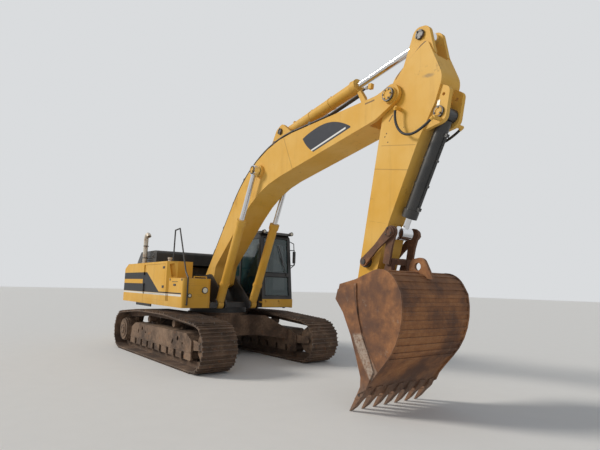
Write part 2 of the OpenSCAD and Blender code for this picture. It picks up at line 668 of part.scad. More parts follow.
door_x = [160, 960];
door_z = [cab_floor + 60, cab_edge_z - 110];
// Heights of the door's knuckles
cab_hinge_zs = [1640, 2760];
module cab_frame() color(dark) machine() {
    cab_shell();
    hinge_frame(door_x[0], cab_y1, cab_hinge_zs);
}
// Windows of the inner side, and the rear one of the outer side
inner_windows = [
    [[-640, 2000, 40], [-640, 2960, 60], [-60, 2960, 60], [-60, 2000, 40]],
    [[20, 1560, 40], [20, 2960, 60], [920, 2960, 60], [1040, 1560, 40]]];
outer_window = [[-640, 1900, 40], [-640, 2960, 60], [60, 2960, 60], [60, 1900, 40]];
// Windscreen panes: [lower edge, upper edge]
screens = [[1500, 2000], [2080, cab_edge_z - 90]];
screen_in = 80;
// The front's slope at height z
function screen_x(z) = cab_front_low - (cab_front_low - cab_front_high) * (z - cab_sill) / (cab_edge_z - cab_sill);
module cab_shell() difference() {
    slab(cab_y0, cab_y1) polygon(cab_profile(0));
    slab(cab_y0 + cab_wall, cab_y1 - cab_wall) polygon(cab_profile(cab_wall));
    for (t = inner_windows) slab(cab_y0 - 1, cab_y0 + cab_wall + 1) polygon(rounded(t));
    // Door opening and rear window of the outer side
    slab(cab_y1 - cab_wall - 1, cab_y1 + 1) polygon(rounded([
        [door_x[0], door_z[0], 30], [door_x[0], door_z[1], 60], [door_x[1] - 80, door_z[1], 60],
        [door_x[1] + 60, door_z[0], 30]]));
    slab(cab_y1 - cab_wall - 1, cab_y1 + 1) polygon(rounded(outer_window));
    // Windscreen, upper and lower, and the rear window
    for (z = screens) block([cab_front_high - 300, cab_y0 + screen_in, z[0]],
        [cab_front_low + 100, cab_y1 - screen_in, z[1]]);
    block([cab_back - 1, cab_y0 + 100, 2000], [cab_back + cab_wall + 1, cab_y1 - 100, 2960]);
}
module cab_roof() color(dark) machine() slab(cab_y0 - 15, cab_y1 + 15) polygon(rounded([
    [cab_back - 20, cab_edge_z, 0], [cab_back + 20, cab_top, 40], [cab_front_high, cab_top, 50],
    [cab_front_high + 60, cab_edge_z, 0]]));
module cab_glass() color(tint) machine() {
    for (t = inner_windows) slab(cab_y0 + 20, cab_y0 + 20 + glass_t) polygon(rounded(t));
    slab(cab_y1 - 20 - glass_t, cab_y1 - 20) polygon(rounded(outer_window));
    for (z = screens) slab(cab_y0 + screen_in, cab_y1 - screen_in) polygon([
        [screen_x(z[0]) - 30, z[0]], [screen_x(z[0]) - 20, z[0]],
        [screen_x(z[1]) - 20, z[1]], [screen_x(z[1]) - 30, z[1]]]);
    block([cab_back + 20, cab_y0 + 100, 2000], [cab_back + 20 + glass_t, cab_y1 - 100, 2960]);
}
// Mirror, roof lamps, wiper and grab rail outside the cab
mirror_at = [1150, cab_y1 + 50];
roof_lamp_r = 46;
roof_lamp_z = cab_edge_z + roof_lamp_r - 2;
module cab_fittings() color(dark) machine() {
    translate([mirror_at[0], mirror_at[1], 2512]) block([-22, -32, -152], [22, 32, 152]);
    pipe([[970, cab_y1 + 11.3, 2700], [mirror_at[0], mirror_at[1], 2700], [mirror_at[0], mirror_at[1], 2300],
        [1015, cab_y1 + 11.3, 2300]], 11);
    // Grab rail ahead of the door
    pipe([[1000, cab_y1 + 6.2, 2930], [1035, cab_y1 + 110, 2880], [1075, cab_y1 + 125, 2320],
        [1065, cab_y1 + 7.2, 2230]], 11);
    for (y = [cab_y0 + 30, cab_y1 - 30]) translate([cab_front_high + 60 + seat_gap, y, roof_lamp_z])
        rotate([0, 90, 0]) cylinder(r = roof_lamp_r, h = 75);
    // Wiper arm with its blade
    bar([screen_x(2040) + 12, cab_y1 - 150, 2040], [screen_x(2500) + 12, cab_y1 - 330, 2500], 8);
    bar([screen_x(2300) + 14, cab_y1 - 240, 2300], [screen_x(2800) + 14, cab_y1 - 380, 2800], 9);
    translate([screen_x(2040) + 2.6, cab_y1 - 150, 2040]) rotate([0, 90, 0]) cylinder(r = 20, h = 26);
}
door_window = [
    [door_x[0] + 90, 1650, 40], [door_x[0] + 90, door_z[1] - 90, 40],
    [door_x[1] - 180, door_z[1] - 90, 40], [door_x[1] - 60, 1650, 40]];
module cab_door() color(dark) machine() {
    door_leaf();
    hinge_leaf(door_x[0], cab_y1, cab_hinge_zs);
}
module door_glass() color(tint) machine() slab(cab_y1 - 35, cab_y1 - 25) polygon(rounded(door_window));
module door_leaf() difference() {
    slab(cab_y1 - cab_wall, cab_y1) polygon(rounded([
        [door_x[0] + door_gap, door_z[0] + door_gap, 26], [door_x[0] + door_gap, door_z[1] - door_gap, 56],
        [door_x[1] - 80 - door_gap, door_z[1] - door_gap, 56], [door_x[1] + 60 - door_gap, door_z[0] + door_gap, 26]]));
    slab(cab_y1 - cab_wall - 1, cab_y1 + 1) polygon(rounded(door_window));
}
module seat() color(dark) machine() {
    block([-250, 820, cab_floor + cab_wall], [250, 1280, cab_floor + 560]);
    block([-330, 820, cab_floor + 560], [-180, 1280, cab_floor + 1250]);
}
// Consoles beside the seat, levers on them, and the travel levers in front
lever_r = 14;
module controls() color(dark) machine() {
    for (y = [[cab_y0 + cab_wall + 30, 800], [1300, cab_y1 - cab_wall - 30]]) {
        block([-200, y[0], cab_floor + cab_wall], [330, y[1], cab_floor + 640]);
        pipe([for (q = [[240, 620], [260, 780], [290, 880]]) [q[0], mid(y[0], y[1]), cab_floor + q[1]]], lever_r);
    }
    for (y = [980, 1120])
        pipe([for (q = [[700, cab_wall + 1.2], [720, 420], [640, 700]]) [q[0], y, cab_floor + q[1]]], lever_r);
}

exhaust_at = [seam_x - 590, 180 - half_w];
exhaust_r = 62;
exhaust_up = 700;
exhaust_bend = 125;
module exhaust() color("gray") machine() translate([exhaust_at[0], exhaust_at[1], house_z]) {
    cylinder(r = exhaust_r + 14, h = 30);
    cylinder(r = exhaust_r, h = exhaust_up);
    translate([exhaust_bend, 0, exhaust_up]) rotate([90, 0, 180]) difference() {
        rotate_extrude(angle = 150) translate([exhaust_bend, 0]) circle(r = exhaust_r);
        rotate([0, 0, 90]) rotate_extrude(angle = 61) translate([exhaust_bend, 0]) circle(r = exhaust_r - 6);
    }
}

// Swing motor with its gearbox, behind the boom's foot
module swing_motor() color(dark) machine() translate([-1180, 0, deck_z + deck_t]) {
    cylinder(r = 270, h = 50);
    cylinder(r = 215, h = 420);
    translate([0, 0, 420]) cylinder(r = 150, h = 260);
}

// Boom
boom_bend = [3130, 1855];
boom_nose = [boom_len - 213, 205];
boom_outline = [
    [-195, -120, 110], [-195, 195, 150], [boom_bend[0], boom_bend[1], 3050], [boom_nose[0], boom_nose[1], 500],
    [boom_len + 175, 150, 150], [boom_len + 175, -165, 150], [boom_len - 433, -140, 300],
    [2930, 877, 2900], [460, 180, 250], [160, -190, 120]];
// Height of the boom's top plate, ahead of the bend
function boom_top(x) =
    boom_bend[1] + (boom_nose[1] - boom_bend[1]) * (x - boom_bend[0]) / (boom_nose[0] - boom_bend[0]);
fork_r = 620;
boss_r = 170;
clevis_in = 120;
clevis_out = 190;
module boom_box() difference() {
    union() {
        slab(-boom_hw, boom_hw) polygon(rounded(boom_outline));
        both() across([boom_len, 0], 130, boom_hw - 30, boom_hw + 40);
        both() across(boom_cyl_eye, boss_r - 30, boom_hw - 30, boom_cyl_y - 75 - side_gap);
        // Ears of the stick cylinder
        both() slab(clevis_in, clevis_out) polygon(rounded([
            [3300, 1400, 0], [stick_cyl_base[0] - 120, stick_cyl_base[1] + 130, 120],
            [stick_cyl_base[0] + 120, stick_cyl_base[1] + 130, 120], [4500, 1100, 0], [3600, 1200, 0]]));
        // Brackets of the oil pipes' ends
        both() slab(clevis_out + 15 + side_gap, line_ys[1] + line_r + 6) polygon([
            [port_x, boom_top(port_x) - 60], [port_x, port_z + 34], [port_x + 70, port_z + 22],
            [port_x + 110, boom_top(port_x + 110) - 60]]);
    }
    across([0, 0], pin_r + fit, -boom_hw - 1, boom_hw + 1);
    across([boom_len, 0], fork_r, -stick_hw - 2 * side_gap, stick_hw + 2 * side_gap);
}
module boom() color(yellow) machine() at_pin(foot, boom_rise) {
    boom_box();
    across([boom_len, 0], pin_r, -boom_hw - 60, boom_hw + 60);
    across(stick_cyl_base, pin_r, -clevis_out - 15, clevis_out + 15);
}

// Oil pipes along the boom's top: [across the machine]
line_ys = [218, 266];
line_r = 20;
line_up = 45;
line_up_high = 50;
line_bend = boom_bend + [-1, line_up_high];
line_end = boom_len - 1353;
line_ends = [[480, 582], [line_end, boom_top(line_end) + line_up_high]];
// Where the pipes end, over the boom's tip
port_x = boom_len - 553;
port_z = 560;
line_bend_r = 3095;
sleeve_hl = 30;
line_back = unit(line_ends[0] - line_bend);
line_ahead = unit(line_ends[1] - line_bend);
line_half = acos(line_back * line_ahead) / 2;
line_centre = line_bend + unit(line_back + line_ahead) * line_bend_r / sin(line_half);
// Straight stretches before and after the bend
line_runs = [
    [line_ends[0], line_bend + line_back * line_bend_r / tan(line_half)],
    [line_bend + line_ahead * line_bend_r / tan(line_half), line_ends[1]]];
line_turn = [bearing(line_runs[1][0] - line_centre), bearing(line_runs[0][1] - line_centre)];
function on_bend(f) = line_centre + polar(line_bend_r, line_turn[0] + (line_turn[1] - line_turn[0]) * f);
module boom_lines() color(dark) machine() at_pin(foot, boom_rise) both() {
    for (y = line_ys) {
        for (s = line_runs) bar([s[0][0], y, s[0][1]], [s[1][0], y, s[1][1]], line_r);
        translate([line_centre[0], y, line_centre[1]]) rotate([90, 0, 0]) rotate([0, 0, line_turn[0]])
            rotate_extrude(angle = line_turn[1] - line_turn[0]) translate([line_bend_r, 0]) circle(r = line_r);
        // Sleeves where the bend begins and ends
        for (s = [[line_runs[0][1], line_back], [line_runs[1][0], line_ahead]])
            let (a = s[0] + s[1] * sleeve_hl, b = s[0] - s[1] * sleeve_hl)
            bar([a[0], y, a[1]], [b[0], y, b[1]], line_r + 6);
        // Last stretch, which leaves the boom's top, and the coupling before it
        bar([line_ends[1][0], y, line_ends[1][1]], [port_x - 6, y, port_z], line_r);
        let (a = line_ends[1] + line_ahead * 40, b = line_ends[1] - line_ahead * 60)
            bar([a[0], y, a[1]], [b[0], y, b[1]], line_r + 9);
        bar([line_ends[0][0] - 90, y, line_ends[0][1] - 45], [line_ends[0][0] + 60, y, line_ends[0][1] + 30], line_r + 8);
    }
    // Clamps
    for (q = [mid(line_runs[0][0], line_runs[0][1]), on_bend(0.75), on_bend(0.25), mid(line_runs[1][0], line_runs[1][1])])
        across(q, line_up - 0.5, line_ys[0] - 12, line_ys[1] + 12);
}

// Stick
nose_x = stick_len - 1138;
stick_outline = [
    [-285, -45, 250], [-830, 485, 90], [-205, 900, 300], [190, 830, 350], [700, 640, 900],
    [nose_x, 308, 0],
    [stick_len + 160, 165, 155], [stick_len + 160, -165, 155], [300, -175, 800]];
// The nose is a piece of its own, and so are the bucket cylinder's ears.
module stick_box(x0, x1) intersection() {
    slab(-stick_hw, stick_hw) polygon(rounded(stick_outline));
    block([x0, -stick_hw - 1, -1500], [x1, stick_hw + 1, 1500]);
}
module stick() color(yellow) machine() at_pin(tip, stick_dir) {
    difference() {
        union() {
            stick_box(-1500, nose_x);
            both() slab(clevis_in, clevis_out) polygon(rounded([
                [-350, 60, 0], [stick_cyl_eye[0] - 130, stick_cyl_eye[1] - 130, 130],
                [stick_cyl_eye[0] - 130, stick_cyl_eye[1] + 130, 130], [-600, 650, 0]]));
            // Clamps of the free hoses
            both() {
                across([hose_clamp[0], hose_clamp[2]], hose_r + 9, stick_hw - 1, hose_y + 4);
                bar(hose_clamp + [0, hose_y, 0], hose_pts[0] + [0, hose_y, 0], hose_r + 6);
            }
        }
        across([0, 0], pin_r + fit, -stick_hw - 1, stick_hw + 1);
        // Slot for the stick cylinder's eye
        slab(-clevis_in, clevis_in) polygon([[-2000, -600], [-2000, 1000], [-560, 900], [-560, -600]]);
        // Hollow for the bucket cylinder's foot
        across(bucket_cyl_base, 200, -clevis_in, clevis_in);
    }
    both() across(stick_cyl_eye, pin_r, clevis_in, clevis_out + 15);
}
module stick_nose() color(yellow) machine() at_pin(tip, stick_dir) difference() {
    stick_box(nose_x, stick_len + 500);
    across([stick_len, 0], pin_r + fit, -stick_hw - 1, stick_hw + 1);
}
module idler_pins() color(yellow) machine() at_pin(tip, stick_dir) both() {
    across(idler_pin, 92, stick_hw, idler_y0 - side_gap);
    across(idler_pin, pin_r - 10, stick_hw, idler_y0 + idler_t + 14);
}
module stick_ears() color(yellow) machine() at_pin(tip, stick_dir) {
    difference() {
        union() {
            both() slab(clevis_in, clevis_out) polygon(rounded([
                [-150, 700, 0], [hose_ear[0] - ear_r, hose_ear[1] + ear_r, ear_r - 1],
                [bucket_cyl_base[0] + 130, bucket_cyl_base[1] + 130, 130], [600, 600, 0]]));
            // Sockets of the free hoses at the bucket cylinder's foot
            both() {
                across([hose_socket[0], hose_socket[2]], hose_r + 9, clevis_out - 1, hose_y + 4);
                bar(hose_socket + [0, hose_y, 0], hose_pts[hose_end] + [0, hose_y, 0], hose_r + 6);
            }
        }
        slab(-stick_hw - 1, stick_hw + 1) polygon(rounded(stick_outline));
        both() across(hose_ear, 24, clevis_in - 1, clevis_out + 1);
    }
    across(bucket_cyl_base, pin_r, -clevis_out - 15, clevis_out + 15);
}
// Free hoses beside the stick, from the clamps to the bucket cylinder's foot: a tube through the rings of t
hose_r = 20;
hose_y = 342;
hose_sides = 10;
hose_pts = [
    [270, 0, 200], [330, 0, 208], [390, 0, 224], [450, 0, 248], [505, 0, 281], [555, 0, 323], [597, 0, 373],
    [629, 0, 430], [647, 0, 492], [651, 0, 556], [641, 0, 620], [619, 0, 681], [588, 0, 738], [553, 0, 792],
    [516, 0, 842], [484, 0, 880], [456, 0, 910]];
function heading(t, i) = unit(t[min(i + 1, len(t) - 1)] - t[max(i - 1, 0)]);
// Where the sockets at a hose's ends are carried
socket_l = 48;
hose_end = len(hose_pts) - 1;
hose_clamp = hose_pts[0] - heading(hose_pts, 0) * socket_l;
hose_socket = hose_pts[hose_end] + heading(hose_pts, hose_end) * socket_l;
module tube(t, r, n) polyhedron(
    points = [for (i = [0 : len(t) - 1]) let (h = heading(t, i)) for (j = [0 : n - 1])
        t[i] + r * (sin(360 * j / n) * [-h[2], 0, h[0]] + cos(360 * j / n) * [0, 1, 0])],
    faces = concat(
        [[for (j = [n - 1 : -1 : 0]) j], [for (j = [0 : n - 1]) (len(t) - 1) * n + j]],
        [for (i = [0 : len(t) - 2]) for (j = [0 : n - 1]) each [
            [i * n + j, i * n + (j + 1) % n, (i + 1) * n + (j + 1) % n],
            [i * n + j, (i + 1) * n + (j + 1) % n, (i + 1) * n + j]]]));
module hose(y) color(dark) machine() at_pin(tip, stick_dir) translate([0, y, 0]) tube(hose_pts, hose_r, hose_sides);
module hose_right() hose(-hose_y);
module hose_left() hose(hose_y);

// Bucket linkage
ear_y0 = stick_hw + side_gap + 2;
ear_t = 60;
link_gap = 16;
high_y0 = stick_hw + link_gap;
high_t = 42;
idler_y0 = high_y0 + high_t + side_gap;
idler_t = 36;
arm_y1 = ear_y0 - side_gap - 7;
arm_y0 = arm_y1 - 85;
module idler_links() color(rust) machine() at_pin(idler_at, bearing(top_at - idler_at))
    both() difference() {
        strap(idler_len, 74, 86, 50, idler_y0, idler_y0 + idler_t);
        across([0, 0], pin_r - 10 + fit, 0, 1000);
    }
// Low arms between the bucket's ears, high arms outside the stick, and a bar across where they meet.
bar_x = [250, 340];
module power_link() color(rust) machine() at_pin(ear_at, bearing(top_at - ear_at)) difference() {
    union() {
        both() {
            across([0, 0], 95, arm_y0, arm_y1);
            slab(arm_y0, arm_y1) polygon([
                [0, -90], [bar_x[0], -62], [bar_x[1], -60], [bar_x[1], 60], [bar_x[0], 62], [0, 90]]);
            across([link_len, 0], 100, high_y0, high_y0 + high_t);
            slab(high_y0, high_y0 + high_t) polygon([
                [bar_x[0], -60], [link_len - 200, -66], [link_len, -94], [link_len, 94], [link_len - 200, 66],
                [bar_x[0], 60]]);
        }
        block([bar_x[0], -high_y0 - high_t, -45], [bar_x[1], high_y0 + high_t, 45]);
    }
    across([0, 0], pin_r - 10 + fit, -1000, 1000);
}

// Bucket. Its outline starts at the front of the top plate and runs round the back to the lip.
wrap = concat(
    [[-105, 60], [-105, 420]],
    arc([165, 850], 340, 190, 112),
    arc([220, 176], 1045, 92, 37),
    [[1190, 632], [1360, 430], [1510, 262]]);
function inset(t, d) =
    [for (i = [0 : len(t) - 1])
        let (a = t[max(0, i - 1)], b = t[min(len(t) - 1, i + 1)])
        t[i] + turn(unit(b - a), -90) * d];
side_proud = 20;
nose_room = 390;
saddle_top = 745;
ear_boss = 139;
mouth = [[1480, 240], [1375, 320], [1250, 345], [960, 290], [660, 220], [325, 100], [110, -40]];
module bucket_shell() {
    difference() {
        slab(-bucket_hw, bucket_hw)
            polygon(concat(wrap, [for (i = [len(wrap) - 1 : -1 : 0]) inset(wrap, bucket_t)[i]]));
        // Room for the stick's nose and the power link between the ears
        slab(-ear_y0, ear_y0) polygon([[-300, 0], [0, 0], [0, saddle_top], [-300, saddle_top]]);
    }
    // Saddle plate set back between the ears
    slab(-ear_y0 - 1, ear_y0 + 1) polygon([
        [5, nose_room], [5 + bucket_t, nose_room], [5 + bucket_t, saddle_top - 85],
        [-135, saddle_top + 25], [-168, saddle_top], [5, saddle_top - 105]]);
    // Side plates, which stand proud of the back
    both() slab(bucket_hw - bucket_t, bucket_hw) polygon(concat(
        [wrap[0]], [for (i = [1 : len(wrap) - 2]) inset(wrap, -side_proud)[i]], [wrap[len(wrap) - 1]], mouth));
    both() {
        across([0, 0], ear_boss, ear_y0, ear_y0 + ear_t);
        across(link_ear, 98, ear_y0, ear_y0 + ear_t);
        slab(ear_y0, ear_y0 + ear_t) polygon([
            [-95, 0], [ear_boss, 0], [150, 420], [160, saddle_top + 10], [-160, saddle_top + 10], [-160, 560],
            [-95, 420]]);
    }
}
eye_at = [-246, 985];
eye_rim = 66;
module lifting_eye() difference() {
    slab(-eye_t / 2, eye_t / 2) polygon(rounded([
        [eye_at[0] - eye_bore - eye_rim, eye_at[1] - eye_bore - eye_rim, eye_bore + eye_rim - 4],
        [eye_at[0] - eye_bore - eye_rim, eye_at[1] + eye_bore + eye_rim, eye_bore + eye_rim - 4],
        [-20, eye_at[1] + 235, 0], [-110, eye_at[1] - 200, 0]]));
    across(eye_at, eye_bore, -eye_t, eye_t);
}
// A tooth with its adapter: side view, and half width along its length
tooth_side = [[tip_reach, 0], [tip_reach - 4, 22], [1660, 120], [1590, 205], [1500, 330], [1400, 408], [1378, 380],
    [1430, 300], [1480, 228], [1560, 150]];
tooth_plan = [[1350, 62], [1545, 62], [1550, 52], [1600, 46], [tip_reach + 1, 30]];
module teeth() for (i = [0 : tooth_count - 1])
    translate([0, (i - (tooth_count - 1) / 2) * tooth_pitch, 0]) intersection() {
        slab(-80, 80) polygon(tooth_side);
        translate([0, 0, -50]) linear_extrude(600)
            polygon(concat([for (q = tooth_plan) q],
                [for (j = [len(tooth_plan) - 1 : -1 : 0]) [tooth_plan[j][0], -tooth_plan[j][1]]]));
    }
// Thick bars along the side plates' edges
side_bar = concat(mouth, [[-30, 30], [-60, 437], [118, 413], [410, 407], [698, 453], [951, 540], [1180, 600],
    [1420, 420]]);
side_bar_t = 22;
// A point and the direction at length d along the open line t
function walk(t, d, i = 0) =
    let (l = norm(t[i + 1] - t[i]))
    i == len(t) - 2 || d <= l ? [t[i] + unit(t[i + 1] - t[i]) * d, unit(t[i + 1] - t[i])] : walk(t, d - l, i + 1);
// Wear strips across the back
strip_count = 14;
strip_first = 800;
strip_pitch = 118;
strip_w = 44;
strip_t = 14;
module wear_strips() for (i = [0 : strip_count - 1])
    let (q = walk(wrap, strip_first + i * strip_pitch), out = turn(q[1], 90))
    slab(-bucket_hw + bucket_t, bucket_hw - bucket_t) polygon([
        q[0] - q[1] * strip_w / 2 - out * 6, q[0] + q[1] * strip_w / 2 - out * 6,
        q[0] + q[1] * strip_w / 2 + out * strip_t, q[0] - q[1] * strip_w / 2 + out * strip_t]);
module bucket() color(rust) machine() at_pin(bucket_pin, bucket_dir) {
    bucket_shell();
    across([0, 0], pin_r, -ear_y0 - ear_t, ear_y0 + ear_t);
    across(link_ear, pin_r - 10, -ear_y0 - ear_t, ear_y0 + ear_t);
    lifting_eye();
    teeth();
    wear_strips();
    both() slab(bucket_hw - 2, bucket_hw + side_bar_t) polygon(side_bar);
}

// Cylinders, drawn with the barrel's pin at the origin and the rod along +X
eye_hw = 68;
head_l = 130;
module barrel(r, len, rod, foot_r, hw) difference() {
    union() {
        rotate([0, 90, 0]) translate([0, 0, foot_r - 20]) cylinder(r = r, h = len - foot_r + 20);
        rotate([0, 90, 0]) translate([0, 0, len - head_l]) cylinder(r = r + 18, h = head_l);
        across([0, 0], foot_r, -hw, hw);
    }
    across([0, 0], pin_r + fit, -hw - 1, hw + 1);
    rotate([0, 90, 0]) translate([0, 0, foot_r + 30]) cylinder(r = rod + fit, h = len);
}
// Oil pipe on a barrel's upper side, with its clamps and the ports at both ends
module side_pipe(r, x0, x1) {
    z = r + 24;
    bar([x0, 0, z], [x1, 0, z], 12);
    for (x = [x0, x1 - 50]) block([x, -30, r - 8], [x + 50, 30, z + 20]);
    for (f = [0.33, 0.66]) translate([x0 + (x1 - x0) * f, 0, 0]) {
        rotate([0, 90, 0]) cylinder(r = r + 7, h = 34);
        block([0, -20, r - 4], [34, 20, z + 16]);
    }
}
module rod(start, len, r, eye_r, hw) {
    rotate([0, 90, 0]) translate([0, 0, start]) cylinder(r = r, h = len - start);
    across([len, 0], eye_r, -hw, hw);
}
module piped_barrel(r, len, rod, foot_r, hw) difference() {
    union() {
        barrel(r, len, rod, foot_r, hw);
        side_pipe(r, 260, len - 150);
    }
    rotate([0, 90, 0]) translate([0, 0, foot_r + 30]) cylinder(r = rod + fit, h = len);
}
boom_cyl_at = on_boom(boom_cyl_eye);
boom_cyl_dir = bearing(boom_cyl_at - boom_cyl_foot);
boom_cyl_len = norm(boom_cyl_at - boom_cyl_foot);
stick_base_at = on_boom(stick_cyl_base);
stick_eye_at = on_stick(stick_cyl_eye);
stick_cyl_dir = bearing(stick_eye_at - stick_base_at);
stick_cyl_len = norm(stick_eye_at - stick_base_at);
bucket_base_at = on_stick(bucket_cyl_base);
bucket_cyl_dir = bearing(top_at - bucket_base_at);
bucket_cyl_len = norm(top_at - bucket_base_at);
boom_barrel_len = 2120;
stick_barrel_len = 2250;
// Length of the bucket cylinder's rod that shows
bucket_rod_out = 265;
bucket_barrel_len = bucket_cyl_len - bucket_rod_out;
stick_rod_r = 65;
module boom_barrels() color(yellow) machine() both() translate([0, boom_cyl_y, 0])
    at_pin(boom_cyl_foot, boom_cyl_dir) {
        barrel(boom_cyl_r, boom_barrel_len, rod_r, 105, eye_hw);
        // Port collar
        rotate([0, 90, 0]) difference() {
            translate([0, 0, 480]) cylinder(r = boom_cyl_r + 16, h = 70);
            translate([0, 0, 400]) cylinder(r = boom_cyl_r - 20, h = 200);
        }
    }
module boom_rods() color(chrome) machine() both() translate([0, boom_cyl_y, 0])
    at_pin(boom_cyl_foot, boom_cyl_dir) rod(1200, boom_cyl_len, rod_r, 110, eye_hw);
module stick_barrel() color(yellow) machine()
    at_pin(stick_base_at, stick_cyl_dir) piped_barrel(stick_cyl_r, stick_barrel_len, stick_rod_r, 115, clevis_in - side_gap);
module stick_rod() color(chrome) machine()
    at_pin(stick_base_at, stick_cyl_dir) rod(1750, stick_cyl_len, stick_rod_r, 115, clevis_in - side_gap);
module bucket_barrel() color(dark) machine()
    at_pin(bucket_base_at, bucket_cyl_dir) piped_barrel(bucket_cyl_r, bucket_barrel_len, rod_r, 105, clevis_in - side_gap);
module bucket_rod() color(chrome) machine()
    at_pin(bucket_base_at, bucket_cyl_dir) rod(400, bucket_cyl_len, rod_r, 105, clevis_in - side_gap);

carbody();
track_frame_right();
track_frame_left();
track_right();
track_left();
idlers();
sprockets();
final_drives();
track_rollers();
carrier_rollers();
swing_bearing();
deck();
counterweight();
engine();
hood();
right_housing();
left_housing();
door_right();
door_left();
skirts();
tool_box();
box_lamp_set();
filler_cap();
handrail();
swing_motor();
cab_base();
cab_frame();
cab_roof();
cab_glass();
cab_door();
door_glass();
cab_fittings();
seat();
controls();
exhaust();
boom();
boom_lines();
stick();
stick_nose();
idler_pins();
stick_ears();
bucket();
hose_right();
hose_left();
idler_links();
power_link();
boom_barrels();
boom_rods();
stick_barrel();
stick_rod();
bucket_barrel();
bucket_rod();
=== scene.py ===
"""Looks of a tracked excavator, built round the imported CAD: finishes, fittings, hoses, seat, lights and camera."""

import math

import bmesh
import bpy
from mathutils import Matrix, Vector


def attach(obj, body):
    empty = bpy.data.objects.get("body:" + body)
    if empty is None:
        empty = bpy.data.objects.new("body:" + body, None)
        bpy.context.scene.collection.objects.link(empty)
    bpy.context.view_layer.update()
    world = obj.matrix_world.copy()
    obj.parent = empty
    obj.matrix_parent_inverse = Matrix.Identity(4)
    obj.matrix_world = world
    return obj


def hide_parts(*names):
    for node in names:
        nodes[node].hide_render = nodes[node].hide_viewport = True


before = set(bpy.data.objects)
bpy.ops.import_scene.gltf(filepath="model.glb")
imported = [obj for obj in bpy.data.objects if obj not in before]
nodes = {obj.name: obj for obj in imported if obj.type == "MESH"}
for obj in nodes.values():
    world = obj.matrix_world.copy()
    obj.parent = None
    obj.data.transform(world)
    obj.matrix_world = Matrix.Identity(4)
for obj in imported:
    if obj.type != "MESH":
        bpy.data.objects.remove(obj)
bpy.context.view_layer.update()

# ---------------------------------------------------------------- places, in metres
# A spot is [forward, up] on a part, counted from the pin that the part hangs on.
SHIFT = 1.71638                      # the swing axis lies this far behind the part's middle
SWING = math.radians(2.6)            # the tracks are turned by this much
FOOT = Vector((0.0, 1.85))           # the boom's foot pin
BOOM_RISE = 25.2                     # degrees above level
STICK_FALL = 102.0                   # degrees below level
BOOM_LENGTH = 6.853
STICK_LENGTH = 3.138
BUCKET_REACH = 1.718                 # from the bucket's pin to the tips of its teeth
TOOTH_GAP = 0.001                    # between those tips and the ground
IDLER_SPOT = (2.65, 0)               # the idler links' pin, on the stick
IDLER_LENGTH = 0.692
POWER_LENGTH = 0.738
BUCKET_EAR = (-0.11, 0.51)           # the power link's pin, on the bucket
LIFT_FOOT = (0.92, 1.27)             # the boom cylinders' lower pin, on the upper machine
LIFT_EYE = (3.17, 1.19)              # and their upper one, on the boom
STICK_BASE = (4.04, 1.66)            # the stick cylinder's foot, on the boom
STICK_EYE = (-0.91, 0.33)            # and its rod's eye, on the stick
BUCKET_BASE = (0.31, 0.91)           # the bucket cylinder's foot, on the stick
SIDES = (-1, 1)                      # right and left


def spin(spot, degrees):
    """A spot turned about the origin."""
    a = math.radians(degrees)
    x, z = spot
    return Vector((x * math.cos(a) - z * math.sin(a), x * math.sin(a) + z * math.cos(a)))


def at(x, y, z):
    """A point of the upper machine, counted from the swing axis."""
    return Vector((x - SHIFT, y, z))


def tilt(degrees, axis="Y"):
    """A turn about an axis."""
    return Matrix.Rotation(math.radians(degrees), 4, axis)


def home(pin, rise):
    """The place and tilt of a part that hangs on a pin and rises by so many degrees."""
    return Matrix.Translation(at(pin.x, 0, pin.y)) @ tilt(-rise)


TIP = FOOT + spin((BOOM_LENGTH, 0), BOOM_RISE)
BUCKET_PIN = TIP + spin((STICK_LENGTH, 0), -STICK_FALL)
BUCKET_FALL = math.degrees(math.asin((BUCKET_PIN.y - TOOTH_GAP) / BUCKET_REACH))
IDLER_PIN = TIP + spin(IDLER_SPOT, -STICK_FALL)
# idler link, power link and the line between their far pins make a triangle
to_ear = BUCKET_PIN + spin(BUCKET_EAR, -BUCKET_FALL) - IDLER_PIN
corner = math.acos((IDLER_LENGTH ** 2 + to_ear.length ** 2 - POWER_LENGTH ** 2)
                   / (2 * IDLER_LENGTH * to_ear.length))
IDLER_RISE = math.degrees(math.atan2(to_ear.y, to_ear.x)) + math.degrees(corner)

HOMES = {
    "undercarriage": Matrix.Translation(at(0, 0, 0)) @ Matrix.Rotation(SWING, 4, "Z"),
    "boom": home(FOOT, BOOM_RISE),
    "stick": home(TIP, -STICK_FALL),
    "bucket": home(BUCKET_PIN, -BUCKET_FALL),
    "idler_links": home(IDLER_PIN, IDLER_RISE),
}
for body in ("upper", "hood", "cab_door", "door_right", "door_left"):
    HOMES[body] = Matrix.Translation(at(0, 0, 0))


def new_object(name, data):
    made = bpy.data.objects.new(name, data)
    bpy.context.scene.collection.objects.link(made)
    return made


# ---------------------------------------------------------------- camera
CAMERA_PLACE = (10.847, -5.393, 1.749)
CAMERA_TURNS = (143.755, 7.796, 1.527)    # yaw, pitch and roll in degrees
SENSOR, LENS = 36.0, 27.15                # millimetres


def make_camera():
    """The photograph's viewpoint, found from the tracks' known sizes."""
    yaw, pitch, roll = (math.radians(a) for a in CAMERA_TURNS)
    forward = Vector((math.cos(yaw) * math.cos(pitch), math.sin(yaw) * math.cos(pitch), math.sin(pitch)))
    level = Vector((math.sin(yaw), -math.cos(yaw), 0.0))
    rise = level.cross(forward)
    right = math.cos(roll) * level + math.sin(roll) * rise
    up = -math.sin(roll) * level + math.cos(roll) * rise
    data = bpy.data.cameras.new("view")
    data.sensor_width, data.lens = SENSOR, LENS
    camera = new_object("view", data)
    turn = Matrix((right, up, -forward)).transposed().to_4x4()
    camera.matrix_world = Matrix.Translation(at(*CAMERA_PLACE)) @ turn
    bpy.context.scene.camera = camera


make_camera()


